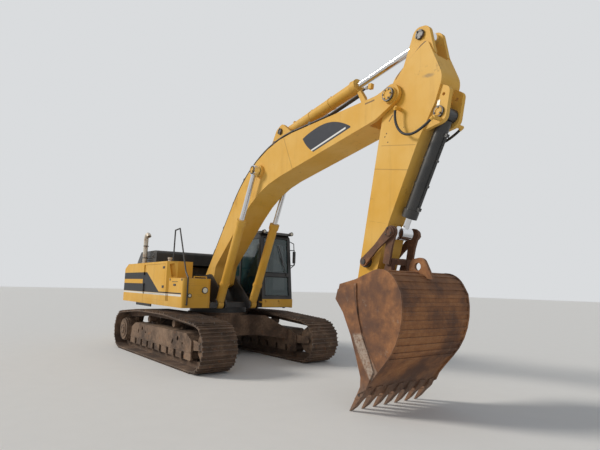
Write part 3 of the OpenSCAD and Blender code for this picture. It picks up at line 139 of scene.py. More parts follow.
# ---------------------------------------------------------------- free hoses beside the stick
# Stops of a hose's middle line on the stick, [forward, up] in millimetres.
HOSE_STOPS = [
    (270, 200), (330, 208), (390, 224), (450, 248), (505, 281), (555, 323), (597, 373), (629, 430), (647, 492),
    (651, 556), (641, 620), (619, 681), (588, 738), (553, 792), (516, 842), (484, 880), (456, 910)]
HOSE_SIDE = 0.342                    # from the stick's middle
HOSE_THICK = 0.04


def make_hose(name, node, side):
    """A free hose that rides the stick in place of one of the CAD's nodes."""
    stops = [HOMES["stick"] @ Vector((x / 1000, side * HOSE_SIDE, z / 1000)) for x, z in HOSE_STOPS]
    data = bpy.data.curves.new(name, "CURVE")
    data.dimensions, data.bevel_depth, data.bevel_resolution = "3D", HOSE_THICK / 2, 4
    spline = data.splines.new("BEZIER")
    spline.bezier_points.add(len(stops) - 1)
    for point, stop in zip(spline.bezier_points, stops):
        point.co = stop
        point.handle_left_type = point.handle_right_type = "AUTO"
    hose = new_object(name, data)
    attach(hose, "stick")
    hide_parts(node)
    sum((b - a).length for a, b in zip(stops, stops[1:]))
    return hose


hoses = [make_hose("free_hose_right", "hose_right", -1), make_hose("free_hose_left", "hose_left", 1)]


# ---------------------------------------------------------------- shader maths
class Flow:
    """A socket of a material's node tree. Python's operators add the nodes."""

    def __init__(self, sheet, socket):
        self.sheet, self.socket = sheet, socket

    def _math(self, operation, *values):
        return self.sheet.add("ShaderNodeMath", {"operation": operation}, dict(enumerate(values)))

    def __add__(self, other): return self._math("ADD", self, other)
    def __radd__(self, other): return self._math("ADD", other, self)
    def __sub__(self, other): return self._math("SUBTRACT", self, other)
    def __rsub__(self, other): return self._math("SUBTRACT", other, self)
    def __mul__(self, other): return self._math("MULTIPLY", self, other)
    def __truediv__(self, other): return self._math("DIVIDE", self, other)
    def __pow__(self, other): return self._math("POWER", self, other)
    def __lt__(self, other): return self._math("LESS_THAN", self, other)
    def __abs__(self): return self._math("ABSOLUTE", self)

    def step(self, low, high):
        """0 below low, 1 above high, and a soft change between."""
        return self.sheet.add("ShaderNodeMapRange", {"interpolation_type": "SMOOTHSTEP"},
                              {"Value": self, "From Min": low, "From Max": high})

    def within(self, low, high, soft=0.004):
        """1 between low and high."""
        return self.step(low - soft, low + soft) * (1 - self.step(high - soft, high + soft))


class Sheet:
    """One material, with the few patterns that the finishes share."""

    def __init__(self, name):
        self.material = bpy.data.materials.new(name)
        self.material.use_nodes = True
        self.tree = self.material.node_tree
        self.tree.nodes.clear()
        self.out = self.tree.nodes.new("ShaderNodeOutputMaterial")
        coords = self.tree.nodes.new("ShaderNodeTexCoord")
        self.place = Flow(self, coords.outputs["Object"])
        self.normal = Flow(self, self.tree.nodes.new("ShaderNodeNewGeometry").outputs["Normal"])

    def feed(self, socket, value):
        """Links a flow to the socket, or sets the socket to a number or a colour."""
        if isinstance(value, Flow):
            self.tree.links.new(value.socket, socket)
        elif isinstance(value, tuple) and socket.type == "RGBA":
            socket.default_value = value + (1.0,)
        else:
            socket.default_value = value

    def add(self, kind, settings, sockets, out=0):
        """A new node with its settings and what feeds its sockets."""
        node = self.tree.nodes.new(kind)
        for name, value in settings.items():
            setattr(node, name, value)
        for key, value in sockets.items():
            self.feed(node.inputs[key], value)
        return Flow(self, node.outputs[out])

    def axes(self, flow=None):
        """The three parts of a direction, or of the place on the object."""
        node = self.tree.nodes.new("ShaderNodeSeparateXYZ")
        self.feed(node.inputs[0], flow or self.place)
        return [Flow(self, s) for s in node.outputs]

    def noise(self, scale, detail=4.0, rough=0.55, stretch=(1, 1, 1), shift=0.0):
        spot = self.place
        if stretch != (1, 1, 1) or shift:
            spot = self.add("ShaderNodeMapping", {},
                            {"Vector": spot, "Scale": stretch, "Location": (shift,) * 3})
        return self.add("ShaderNodeTexNoise", {},
                        {"Vector": spot, "Scale": scale, "Detail": detail, "Roughness": rough})

    def bands(self, axis, scale, distortion=0.0):
        return self.add("ShaderNodeTexWave", {"wave_type": "BANDS", "bands_direction": axis},
                        {"Vector": self.place, "Scale": scale, "Distortion": distortion})

    def edges(self, radius, low=0.04, high=0.3):
        """1 where the surface turns sharply, as worn edges and corners do."""
        soft = self.add("ShaderNodeBevel", {"samples": 4}, {"Radius": radius})
        same = self.add("ShaderNodeVectorMath", {"operation": "DOT_PRODUCT"}, {0: soft, 1: self.normal}, out=1)
        return (1 - same).step(low, high)

    def blend(self, mask, under, over):
        """The colour over where mask is 1, and under where it is 0."""
        # a mix node takes its colours at sockets 6 and 7, and gives a colour at output 2
        return self.add("ShaderNodeMix", {"data_type": "RGBA"}, {0: mask, 6: under, 7: over}, out=2)

    def ruled(self, pin, rise, origin, turn=0.0):
        """Distances along and across a line from a spot of a pinned part. turn tilts it against the part."""
        start = pin + spin(origin, rise) - Vector((SHIFT, 0))
        ahead, above = spin((1, 0), rise + turn), spin((0, 1), rise + turn)
        x, _, z = self.axes()
        dx, dz = x - start.x, z - start.y
        return dx * ahead.x + dz * ahead.y, dx * above.x + dz * above.y

    def finish(self, colour, rough, metal=0.0, bump=None, bump_size=0.002, coat=0.0, alpha=None, coat_rough=0.2,
               gloss=0.5):
        """Feeds the shader and gives back the material."""
        shader = self.tree.nodes.new("ShaderNodeBsdfPrincipled")
        self.feed(shader.inputs["Base Color"], colour)
        self.feed(shader.inputs["Roughness"], rough)
        self.feed(shader.inputs["Metallic"], metal)
        self.feed(shader.inputs["Coat Weight"], coat)
        shader.inputs["Coat Roughness"].default_value = coat_rough
        shader.inputs["Specular IOR Level"].default_value = gloss
        if bump is not None:
            self.feed(shader.inputs["Normal"], self.add(
                "ShaderNodeBump", {}, {"Height": bump, "Distance": bump_size, "Strength": 1.0}))
        if alpha is not None:
            self.feed(shader.inputs["Alpha"], alpha)
        self.tree.links.new(shader.outputs[0], self.out.inputs["Surface"])
        return self.material


# ---------------------------------------------------------------- colours
YELLOW, YELLOW_PALE, OCHRE = (0.72, 0.385, 0.045), (0.78, 0.47, 0.11), (0.46, 0.235, 0.045)
DUST = (0.38, 0.30, 0.21)
MUD_DARK, MUD, MUD_DRY = (0.062, 0.038, 0.025), (0.15, 0.092, 0.058), (0.34, 0.225, 0.145)
RUST_DARK, RUST, RUST_ORANGE = (0.11, 0.05, 0.028), (0.30, 0.125, 0.045), (0.40, 0.19, 0.075)
CHIPPED, RUBBED = (0.13, 0.065, 0.035), (0.20, 0.105, 0.045)
BLACK, BARE = (0.020, 0.021, 0.024), (0.40, 0.37, 0.33)
PALE_LINE, LEAF_BLACK, LEAF_STRIPE = (0.74, 0.72, 0.66), (0.018, 0.022, 0.034), (0.78, 0.78, 0.76)
# The boom and stick dirt colours also paint shade: in the boom's slot and along the edge of the stick's doubler
# plate.
BOOM_DIRT_AND_SHADE, STICK_DIRT_AND_SHADE = (0.15, 0.08, 0.03), (0.12, 0.06, 0.025)
OIL, SLOT_SHADE = (0.16, 0.13, 0.10), (0.075, 0.04, 0.022)
BLACK_DEEP, BLACK_FADED, BLACK_WORN = (0.020, 0.021, 0.023), (0.040, 0.040, 0.041), (0.17, 0.15, 0.13)
SCALE, MUD_RUN, SCRATCHED = (0.10, 0.05, 0.03), (0.085, 0.045, 0.03), (0.32, 0.25, 0.19)
# The middle colour is painted shadow, for the line along the step on the bucket's side plates.
SCRAPED, STEP_SHADE, WORN_LIP = (0.46, 0.38, 0.31), (0.05, 0.025, 0.015), (0.27, 0.20, 0.15)
CHROME, SMEAR = (0.80, 0.81, 0.83), (0.30, 0.26, 0.22)
PALE_STEEL, PIPE_STEEL, DARK_STEEL = (0.50, 0.47, 0.43), (0.62, 0.55, 0.45), (0.050, 0.046, 0.043)
GLASS_TINT, GLASS_DUST = (0.018, 0.055, 0.058), (0.26, 0.28, 0.25)
RUBBER, RUBBER_WORN = (0.018, 0.018, 0.018), (0.16, 0.13, 0.10)
CLOTH, CLOTH_FADED = (0.035, 0.036, 0.042), (0.075, 0.075, 0.08)
LENS_PALE, LENS_DARK = (0.86, 0.80, 0.62), (0.55, 0.50, 0.38)
FLOOR, FLOOR_PALE = (0.80, 0.795, 0.78), (0.84, 0.835, 0.82)
SKY_SOFT, SKY_SEEN = (0.88, 0.93, 1.0, 1.0), (0.70, 0.715, 0.73, 1.0)
SUNLIGHT, SKYLIGHT = (1.0, 0.95, 0.87), (0.92, 0.96, 1.0)

# ---------------------------------------------------------------- marks on the paint and on the bucket
# Marks lie further out than these distances from the middle.
HOUSE_FACE, BOOM_FACE, STICK_FACE, BUCKET_FACE = 1.2, 0.285, 0.205, 0.755

# right side of the upper machine
PANEL_LOW, PANEL_HIGH = 1.515, 2.035
PANEL_EDGE = (-0.394, 1.528, -1.99)  # forward, up, and forward per up, of the panel's slanting front edge
STRIP_TOP = 1.545                    # the panel runs on below this as a strip
STRIP_END = 1.03
BAR_LOW, BAR_HIGH, BAR_END = 1.735, 1.852, -1.735
LINE_LOW, LINE_HIGH = 1.462, 1.508

# boom: spots count from its foot pin, turns are in degrees against the line between its pins
LEAF_START, LEAF_TURN, LEAF_END = (4.846, 0.412), -14.3, 1.10
LEAF_HEIGHT, LEAF_MIDDLE, LEAF_HALF = 0.43, 0.10, 1.03
STRIPE_LOW, STRIPE_HIGH, STRIPE_END = 0.035, 0.068, 0.98
BOOM_SEAM = (4.19, 4.215)
BOOM_SLOT, BOOM_SLOT_TURN, BOOM_SLOT_LONG, BOOM_SLOT_HALF = (6.361, 0.269), -25.2, 0.22, 0.013

# stick: spots count from the boom's tip pin
DOUBLER_START, DOUBLER_TURN, DOUBLER_LONG, DOUBLER_BOW = (-0.784, 0.497), -44.7, 0.726, 0.408
UPPER_SEAM, UPPER_SEAM_ACROSS, LOWER_SEAM = (0.774, 0.786), (-0.1, 0.60), (1.15, 1.165)
STICK_SLOT, STICK_SLOT_TURN, STICK_SLOT_LONG, STICK_SLOT_HALF = (0.295, 0.044), -30.7, 0.117, 0.011
STICK_DOTS = ((0.586, -0.029), (0.638, -0.054), (0.727, 0.028))
OIL_SPOT, DRIP_SPOT = (-0.238, 0.64), (0.182, 0.937)

# bucket: along and above the line from its pin to its teeth
# Line of the step on each side plate, along which a shadow line is painted.
STEP_LINE_START, STEP_LINE_END, STEP_LINE_UP, STEP_LINE_RISE, STEP_LINE_BOW = 0.112, 0.676, 0.394, 0.1418, 0.2369
SCRAPED_LOW, SCRAPED_HIGH, SCRAPED_LONG = -0.20, -0.02, (0.66, 1.34)


def side_marks(s, colour):
    """Black panel with a slanting front edge, its yellow bar, and the pale line along the right side."""
    x, y, z = s.axes()
    x = x + SHIFT
    side = y < -HOUSE_FACE
    before_end = 1 - x.step(STRIP_END, STRIP_END + 0.01)
    edge_x, edge_z, lean = PANEL_EDGE
    slant = x - (z - edge_z) * lean - edge_x
    panel = z.within(PANEL_LOW, PANEL_HIGH) * (1 - slant.step(-0.006, 0.006))
    strip = z.within(PANEL_LOW, STRIP_TOP) * before_end
    colour = s.blend(side * (panel + strip * (1 - panel)), colour, BLACK)
    bar = side * z.within(BAR_LOW, BAR_HIGH) * (1 - x.step(BAR_END, BAR_END + 0.01))
    colour = s.blend(bar, colour, YELLOW)
    return s.blend(side * z.within(LINE_LOW, LINE_HIGH) * before_end, colour, PALE_LINE)


def boom_marks(s, colour):
    """Bare black leaf with one pale stripe on each side of the boom, a plate seam, and a slot near the tip painted
    as dark shade.
    """
    _, y, _ = s.axes()
    side = abs(y).step(BOOM_FACE, BOOM_FACE + 0.01)
    along, _ = s.ruled(FOOT, BOOM_RISE, (0, 0))
    # the leaf lies between a straight lower edge and a bowed upper one, and ends at a hollow rear edge
    u, v = s.ruled(FOOT, BOOM_RISE, LEAF_START, LEAF_TURN)
    bow = LEAF_HEIGHT - (abs(u - LEAF_MIDDLE) / LEAF_HALF) ** 2.4 * LEAF_HEIGHT
    rear = u - (v - 0.24) ** 2 * 0.9 + v * 0.62
    leaf = v.step(-0.003, 0.003) * (1 - (v - bow).step(-0.004, 0.004)) * rear.step(-0.004, 0.004)
    leaf = leaf * (1 - u.step(LEAF_END, LEAF_END + 0.01)) * side
    colour = s.blend(leaf, colour, LEAF_BLACK)
    stripe = leaf * v.within(STRIPE_LOW, STRIPE_HIGH) * (1 - u.step(STRIPE_END, STRIPE_END + 0.01))
    colour = s.blend(stripe, colour, LEAF_STRIPE)
    seam = along.within(*BOOM_SEAM, 0.006) * side
    # The slot near the tip is painted shade: a dark patch in the boom's dirt colour for the shadow inside it.
    a, b = s.ruled(FOOT, BOOM_RISE, BOOM_SLOT, BOOM_SLOT_TURN)
    slot = a.within(0.0, BOOM_SLOT_LONG, 0.003) * b.within(-BOOM_SLOT_HALF, BOOM_SLOT_HALF, 0.003) * side
    drip = s.noise(3.0, 6.0, 0.7, stretch=(2.0, 2.0, 0.35), shift=2.0).step(0.60, 0.72) * 0.35
    return s.blend(seam * 0.35 + slot * 0.85 + drip * (1 - slot), colour, BOOM_DIRT_AND_SHADE)


def stick_marks(s, colour):
    """Painted shade along the doubler plate's edge at the boom's pin, weld seams, a slot, dots, oil stains and a few
    scuffs.
    """
    _, y, _ = s.axes()
    side = abs(y).step(STICK_FACE, STICK_FACE + 0.01)

    def ruled(spot, turn=0.0):
        return s.ruled(TIP, -STICK_FALL, spot, turn)

    along, over = ruled((0, 0))
    u, v = ruled(DOUBLER_START, DOUBLER_TURN)
    # Painted shade: a dark line along the doubler plate's edge, where its step would cast a shadow.
    plate = (v + u * (DOUBLER_LONG - u) * DOUBLER_BOW).within(-0.010, 0.010) * u.within(0.0, DOUBLER_LONG, 0.01)
    seam = along.within(*UPPER_SEAM) * over.within(*UPPER_SEAM_ACROSS, 0.02) + along.within(*LOWER_SEAM, 0.006)
    a, b = ruled(STICK_SLOT, STICK_SLOT_TURN)
    slot = a.within(0.0, STICK_SLOT_LONG, 0.003) * b.within(-STICK_SLOT_HALF, STICK_SLOT_HALF, 0.003)
    for spot in STICK_DOTS:
        p, q = ruled(spot)
        slot = slot + (1 - (p * p + q * q).step(0.00012, 0.0002))
    scuffs = s.noise(3.2, 7.0, 0.7, shift=3.0).step(0.62, 0.68)
    # The plate's edge here is painted shade; the seams and scuffs are dirt.
    colour = s.blend((plate * 0.95 + seam * 0.40) * side + scuffs * 0.30, colour, STICK_DIRT_AND_SHADE)
    p, q = ruled(OIL_SPOT)
    ragged = s.noise(14.0, 5.0, 0.7, shift=11.0) * 0.9
    blot = 1 - (((p * 24) ** 2 + (q * 8) ** 2) ** 0.5 + ragged).step(0.7, 1.5)
    colour = s.blend(blot * side * 0.55, colour, OIL)
    p, q = ruled(DRIP_SPOT)
    spots = 1 - (p * p + q * q).step(0.0009, 0.002)
    return s.blend((slot + spots * 0.6) * side * 0.9, colour, SLOT_SHADE)


def bucket_marks(s, colour, speck):
    """Painted shadow line along the step on each side plate, the pale scraped bar below it, and bare steel towards
    the teeth.
    """
    _, y, _ = s.axes()
    side = abs(y).step(BUCKET_FACE, BUCKET_FACE + 0.01)
    u, v = s.ruled(BUCKET_PIN, -BUCKET_FALL, (0, 0))
    past = u - STEP_LINE_START
    step_line = v - (STEP_LINE_UP + past * STEP_LINE_RISE + past * (u - STEP_LINE_END) * STEP_LINE_BOW)
    scraped = step_line.within(SCRAPED_LOW, SCRAPED_HIGH, 0.02) * u.within(*SCRAPED_LONG, 0.03)
    scraped = scraped * speck.step(0.30, 0.60)
    colour = s.blend(scraped * side * 0.75, colour, SCRAPED)
    # Painted shadow: a dark line along the side plate's step, standing for the shade it would cast.
    colour = s.blend(step_line.within(-0.008, 0.008) * u.within(0.0, 1.25) * side * 0.8, colour, STEP_SHADE)
    lip = u.step(1.15, 1.55) * speck.step(0.25, 0.6)
    return s.blend(lip * 0.45, colour, WORN_LIP)


# ---------------------------------------------------------------- finishes
def paint(name, graphics=None, dirt=0.5, grime_height=1.6):
    """Worn yellow paint. graphics(sheet, colour) lays marks on the clean paint. Dirt thins at grime_height."""
    s = Sheet(name)
    _, _, z = s.axes()
    _, _, up = s.axes(s.normal)
    patches = s.noise(0.7, 5.0, 0.6)
    fine = s.noise(9.0, 6.0, 0.7)
    streaks = s.noise(2.6, 4.0, 0.6, stretch=(3.0, 3.0, 0.25))
    colour = s.blend(patches.step(0.35, 0.68), YELLOW, YELLOW_PALE)
    colour = s.blend(streaks.step(0.52, 0.80) * 0.30, colour, OCHRE)
    if graphics:
        colour = graphics(s, colour)
    low = 1 - z.step(grime_height - 1.2, grime_height + 0.4)
    dust = (up.step(0.35, 0.95) * 0.50 + low * 0.35) * fine.step(0.25, 0.75) * dirt
    colour = s.blend(dust, colour, DUST)
    chips = s.noise(5.5, 8.0, 0.75, shift=7.0).step(0.665, 0.70)
    colour = s.blend(chips * 0.75, colour, CHIPPED)
    rubbed = s.edges(0.012) * fine.step(0.35, 0.6)
    colour = s.blend(rubbed * 0.55, colour, RUBBED)
    rough = 0.54 + dust * 0.35 + chips * 0.25 + rubbed * 0.2 + fine * 0.12
    height = fine * 0.25 - chips * 0.6 - rubbed * 0.4 + s.noise(60.0, 2.0) * 0.08
    return s.finish(colour, rough, 0.0, height, 0.0012, coat=0.04, coat_rough=0.35, gloss=0.26)


def black_paint(name, dusty=0.5, coat=0.15):
    """Black paint under dust, rubbed to grey along its edges."""
    s = Sheet(name)
    _, _, up = s.axes(s.normal)
    grain = s.noise(6.0, 7.0, 0.7)
    patches = s.noise(1.3, 4.0, 0.6)
    worn = s.edges(0.008) * grain.step(0.4, 0.6)
    dust = (0.15 + up.step(0.2, 0.95) * 0.55) * grain.step(0.3, 0.8) * dusty
    colour = s.blend(patches.step(0.3, 0.7), BLACK_DEEP, BLACK_FADED)
    colour = s.blend(dust, colour, DUST)
    colour = s.blend(worn * 0.5, colour, BLACK_WORN)
    return s.finish(colour, 0.42 + dust * 0.5 + grain * 0.1, 0.0, grain, 0.0012, coat=coat, gloss=0.35)


def muddy_steel(name, dry=0.5, shine=0.0, deep=0.005):
    """Steel under dried mud: pale and crusted on top, dark in the hollows, with bare steel along the edges."""
    s = Sheet(name)
    _, _, up = s.axes(s.normal)
    crust = s.noise(2.2, 8.0, 0.65)
    grit = s.noise(22.0, 6.0, 0.7)
    lumps = s.noise(7.0, 5.0, 0.6, shift=4.0)
    worn = s.edges(0.010) * grit.step(0.30, 0.50)
    colour = s.blend(crust.step(0.34, 0.62), MUD_DARK, MUD)
    dried = (crust * 0.6 + grit * 0.4).step(0.54 - dry * 0.14, 0.68)
    colour = s.blend(dried * (0.35 + up.step(-0.2, 0.9) * 0.35 + dry * 0.3), colour, MUD_DRY)
    colour = s.blend(lumps.step(0.60, 0.70) * 0.40, colour, RUST)
    bare = s.noise(12.0, 5.0, 0.6, shift=9.0).step(0.62, 0.70) * shine * 0.5 + worn * (0.25 + shine * 0.5)
    colour = s.blend(bare, colour, BARE)
    return s.finish(colour, 0.86 - bare * 0.40, bare * 0.6, crust * 0.6 + grit * 0.35 + lumps * 0.5, deep)


def rusted_steel(name, marks=None, dark=0.0):
    """Rust on heavy plate: orange bloom, dark scale, runs of mud, mud on upward faces and scratches from digging."""
    s = Sheet(name)
    _, _, up = s.axes(s.normal)
    bloom = s.noise(1.7, 8.0, 0.65)
    speck = s.noise(18.0, 6.0, 0.75)
    scratch = s.noise(5.0, 5.0, 0.7, stretch=(1.0, 7.0, 1.0), shift=5.0)
    runs = s.noise(4.0, 5.0, 0.65, stretch=(3.0, 3.0, 0.3), shift=8.0)
    colour = s.blend(bloom.step(0.36 + dark * 0.1, 0.62 + dark * 0.1), RUST_DARK, RUST)
    colour = s.blend((speck * 0.5 + bloom * 0.5).step(0.50, 0.64) * (0.7 - dark * 0.4), colour, RUST_ORANGE)
    colour = s.blend(speck.step(0.60, 0.75) * 0.45, colour, SCALE)
    colour = s.blend(runs.step(0.55, 0.75) * 0.35, colour, MUD_RUN)
    bare = scratch.step(0.62, 0.72) * 0.45 + s.edges(0.012) * speck.step(0.35, 0.55) * 0.5
    colour = s.blend(bare, colour, SCRATCHED)
    if marks:
        colour = marks(s, colour, speck)
    colour = s.blend(up.step(0.1, 0.9) * bloom.step(0.35, 0.6) * 0.4, colour, MUD)
    return s.finish(colour, 0.78 - bare * 0.3, bare * 0.5, bloom * 0.5 + speck * 0.5 + scratch * 0.3, 0.003)


def bright_rod(name):
    s = Sheet(name)
    turns = s.noise(40.0, 2.0, 0.5)
    smear = s.noise(3.0, 5.0, 0.6).step(0.55, 0.75) * 0.35
    rough = 0.10 + smear * 0.5 + turns * 0.05
    return s.finish(s.blend(smear, CHROME, SMEAR), rough, 1.0 - smear * 0.7, turns, 0.0002)


def plain_steel(name, colour, rust=0.4, metal=0.7):
    s = Sheet(name)
    bloom = s.noise(9.0, 6.0, 0.7)
    spots = bloom.step(0.5, 0.68) * rust
    return s.finish(s.blend(spots, colour, RUST), 0.42 + spots * 0.45, metal - spots * metal, bloom, 0.001)


def window_glass(name):
    s = Sheet(name)
    dust = s.noise(4.0, 6.0, 0.6).step(0.4, 0.85) * 0.3
    return s.finish(s.blend(dust, GLASS_TINT, GLASS_DUST), 0.05 + dust * 0.5, coat=1.0, alpha=0.62 + dust * 0.4,
                    coat_rough=0.03)


def rubber(name):
    s = Sheet(name)
    ribs = s.noise(30.0, 4.0, 0.6)
    wear = s.noise(5.0, 5.0, 0.6).step(0.45, 0.8) * 0.4
    return s.finish(s.blend(wear, RUBBER, RUBBER_WORN), 0.62 + wear * 0.25, 0.0, ribs, 0.0008)


def woven_cloth(name):
    s = Sheet(name)
    fade = s.noise(5.0, 4.0, 0.6)
    weave = s.bands("Y", 160.0, 1.0) * s.bands("Z", 160.0, 1.0)
    return s.finish(s.blend(fade, CLOTH, CLOTH_FADED), 0.9, 0.0, weave, 0.0006)


def lamp_glass(name):
    s = Sheet(name)
    flutes = s.bands("Y", 30.0)
    colour = s.blend(flutes * 0.3, LENS_PALE, LENS_DARK)
    return s.finish(colour, 0.15, 0.0, flutes, 0.002, coat=1.0, coat_rough=0.05)


finishes = {
    "yellow": paint("yellow_paint"),
    "side": paint("yellow_side", side_marks, dirt=0.45),
    "boom": paint("yellow_boom", boom_marks, dirt=0.35, grime_height=0.0),
    "stick": paint("yellow_stick", stick_marks, dirt=0.3, grime_height=0.0),
    "black": black_paint("black_paint"),
    "hood": black_paint("hood_paint", dusty=0.45, coat=0.2),
    "mud": muddy_steel("mud_steel"),
    "shoes": muddy_steel("shoe_steel", dry=0.1, shine=0.6, deep=0.004),
    "wheel": muddy_steel("wheel_steel", dry=1.0),
    "rust": rusted_steel("rust_link", dark=0.5),
    "bucket": rusted_steel("rust_bucket", bucket_marks),
    "gloss": black_paint("gloss_black", dusty=0.35, coat=0.45),
    "rod": bright_rod("bright_rod"),
    "steel": plain_steel("pale_steel", PALE_STEEL),
    "pipe": plain_steel("exhaust_steel", PIPE_STEEL, rust=0.7, metal=0.3),
    "dark_steel": plain_steel("dark_steel", DARK_STEEL, rust=0.3, metal=0.15),
    "glass": window_glass("window_glass"),
    "rubber": rubber("hose_rubber"),
    "cloth": woven_cloth("seat_cloth"),
    "lamp": lamp_glass("lamp_glass"),
}

finished_nodes = {
    "yellow": ["left_housing", "door_left", "cab_base", "boom_barrels", "stick_barrel"],
    "side": ["counterweight", "right_housing", "door_right", "skirts", "tool_box"],
    "boom": ["boom"],
    "stick": ["stick", "stick_nose", "stick_ears"],
    "black": ["swing_bearing", "deck", "handrail", "cab_frame", "cab_roof", "cab_door", "cab_fittings"],
    "hood": ["hood"],
    "mud": ["carbody", "track_rollers"],
    "shoes": ["track_right", "track_left"],
    "wheel": ["track_frame_right", "track_frame_left", "idlers", "sprockets", "final_drives",
              "carrier_rollers"],
    "rust": ["idler_links", "power_link"],
    "bucket": ["bucket"],
    "gloss": ["bucket_barrel"],
    "rod": ["boom_rods", "stick_rod", "bucket_rod"],
    "pipe": ["filler_cap", "exhaust"],
    "dark_steel": ["engine", "swing_motor", "boom_lines", "idler_pins"],
    "glass": ["cab_glass", "door_glass"],
    "rubber": ["controls", "hose_right", "hose_left"],
    "cloth": ["seat"],
    "lamp": ["box_lamp_set"],
}
for look, names in finished_nodes.items():
    for name in names:
        nodes[name].data.materials.clear()
        nodes[name].data.materials.append(finishes[look])
for hose in hoses:
    hose.data.materials.append(finishes["rubber"])


# ---------------------------------------------------------------- building pieces
SUNK = 0.012                         # how deep turned fittings reach into what they sit on
CAP_HEIGHT = 0.022
# Lathe forms: pairs of the distance from the start and the radius.
BOLT_HEAD = [(0, 0.014), (0.012, 0.014), (0.015, 0.009)]
UP, AHEAD = (0, 0, 1), (1, 0, 0)


def circle(sides):
    """The angles of evenly spread points on a ring."""
    return [2 * math.pi * i / sides for i in range(sides)]


def skin(part, rings, closed=False):
    """Faces between neighbouring rings of points, and over both ends unless the last ring meets the first."""
    pairs = list(zip(rings, rings[1:])) + ([(rings[-1], rings[0])] if closed else [])
    for lower, upper in pairs:
        for i in range(len(lower)):
            part.faces.new((lower[i - 1], lower[i], upper[i], upper[i - 1]))
    if not closed:
        part.faces.new(rings[0][::-1])
        part.faces.new(rings[-1])


class Piece:
    """Bars, turned parts and pipes gathered into one piece that rides on a body."""

    def __init__(self, name, body, *looks):
        self.name, self.body, self.looks = name, body, looks
        self.mesh = bmesh.new()

    def gather(self, part, look, smooth=False):
        """Adds a form in one of the piece's looks."""
        for face in part.faces:
            face.material_index, face.smooth = look, smooth
        data = bpy.data.meshes.new("part")
        part.to_mesh(data)
        part.free()
        self.mesh.from_mesh(data)
        bpy.data.meshes.remove(data)

    def block(self, low, high, edge=0.006, look=0, turn=None):
        """A bar with rounded edges between two corners. turn is a rotation about its middle."""
        low, high = Vector(low), Vector(high)
        part = bmesh.new()
        bmesh.ops.create_cube(part, size=1.0)
        bmesh.ops.scale(part, vec=high - low, verts=part.verts)
        bmesh.ops.bevel(part, geom=part.edges[:], offset=edge, segments=2, profile=0.6, affect="EDGES")
        place = Matrix.Translation((low + high) / 2)
        bmesh.ops.transform(part, matrix=place @ turn if turn else place, verts=part.verts)
        self.gather(part, look)

    def turned(self, start, towards, profile, sides=24, look=0):
        """A lathe form from start in the direction towards."""
        part = bmesh.new()
        place = Matrix.Translation(Vector(start)) @ Vector(towards).to_track_quat("Z", "Y").to_matrix().to_4x4()
        skin(part, [[part.verts.new(place @ Vector((radius * math.cos(a), radius * math.sin(a), far)))
                     for a in circle(sides)] for far, radius in profile])
        self.gather(part, look)

    def pipe(self, stops, radius, look=0, sides=10, closed=False):
        """A round bar along the stops, which it follows without twisting."""
        part = bmesh.new()
        stops = [Vector(p) for p in stops]
        count = len(stops)
        side = None
        rings = []
        for i, p in enumerate(stops):
            if closed:
                way = (stops[(i + 1) % count] - stops[i - 1]).normalized()
            else:
                way = (stops[min(i + 1, count - 1)] - stops[max(i - 1, 0)]).normalized()
            if side is None:
                side = way.orthogonal().normalized()
            side = (side - way * side.dot(way)).normalized()
            other = way.cross(side)
            rings.append([part.verts.new(p + (side * math.cos(a) + other * math.sin(a)) * radius)
                          for a in circle(sides)])
        skin(part, rings, closed)
        self.gather(part, look, smooth=True)

    def cap(self, spot, side, face, radius, look, bolts):
        """A pin's dished end cap at a spot, on the face at that distance across, with a ring of bolts."""
        forward, up = spot
        top, dish = CAP_HEIGHT + SUNK, CAP_HEIGHT * 0.65 + SUNK
        self.turned((forward, side * (face - SUNK), up), (0, side, 0), [
            (0, radius), (CAP_HEIGHT * 0.6 + SUNK, radius), (top, radius - 0.010), (top, radius * 0.62),
            (dish, radius * 0.55), (dish, 0.003)], 32, look)
        bolt_ring, bolt_foot = radius * 0.82, side * (face + CAP_HEIGHT - 0.004)
        for i in range(bolts):
            a = 2 * math.pi * (i + 0.5) / bolts
            start = (forward + bolt_ring * math.cos(a), bolt_foot, up + bolt_ring * math.sin(a))
            self.turned(start, (0, side, 0), BOLT_HEAD, 6, 1)

    def done(self):
        bmesh.ops.transform(self.mesh, matrix=HOMES[self.body], verts=self.mesh.verts)
        bmesh.ops.recalc_face_normals(self.mesh, faces=self.mesh.faces)
        data = bpy.data.meshes.new(self.name)
        self.mesh.to_mesh(data)
        self.mesh.free()
        for look in self.looks:
            data.materials.append(finishes[look])
        made = new_object(self.name, data)
        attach(made, self.body)
        return made


def outer_face(names, body, spot, side, reach=0.0):
    """How far across the named nodes' outer surface lies, looked up four times at reach round a spot."""
    far_out = 3.0
    found = []
    for dx, dz in ((reach, 0), (-reach, 0), (0, reach), (0, -reach)):
        start = HOMES[body] @ Vector((spot[0] + dx, side * far_out, spot[1] + dz))
        way = HOMES[body].to_3x3() @ Vector((0, -side, 0))
        for name in names:
            hit, place, _, _ = nodes[name].ray_cast(start, way)
            if hit:
                found.append(far_out - (place - start).length)
    return max(found)


def local_middle(name, body, side):
    """The middle, forward and up, of a node's half on one side, seen from its body."""
    back = HOMES[body].inverted()
    spots = [back @ v.co for v in nodes[name].data.vertices]
    spots = [p for p in spots if p.y * side > 0]
    return [(min(c) + max(c)) / 2 for c in ([p.x for p in spots], [p.z for p in spots])]


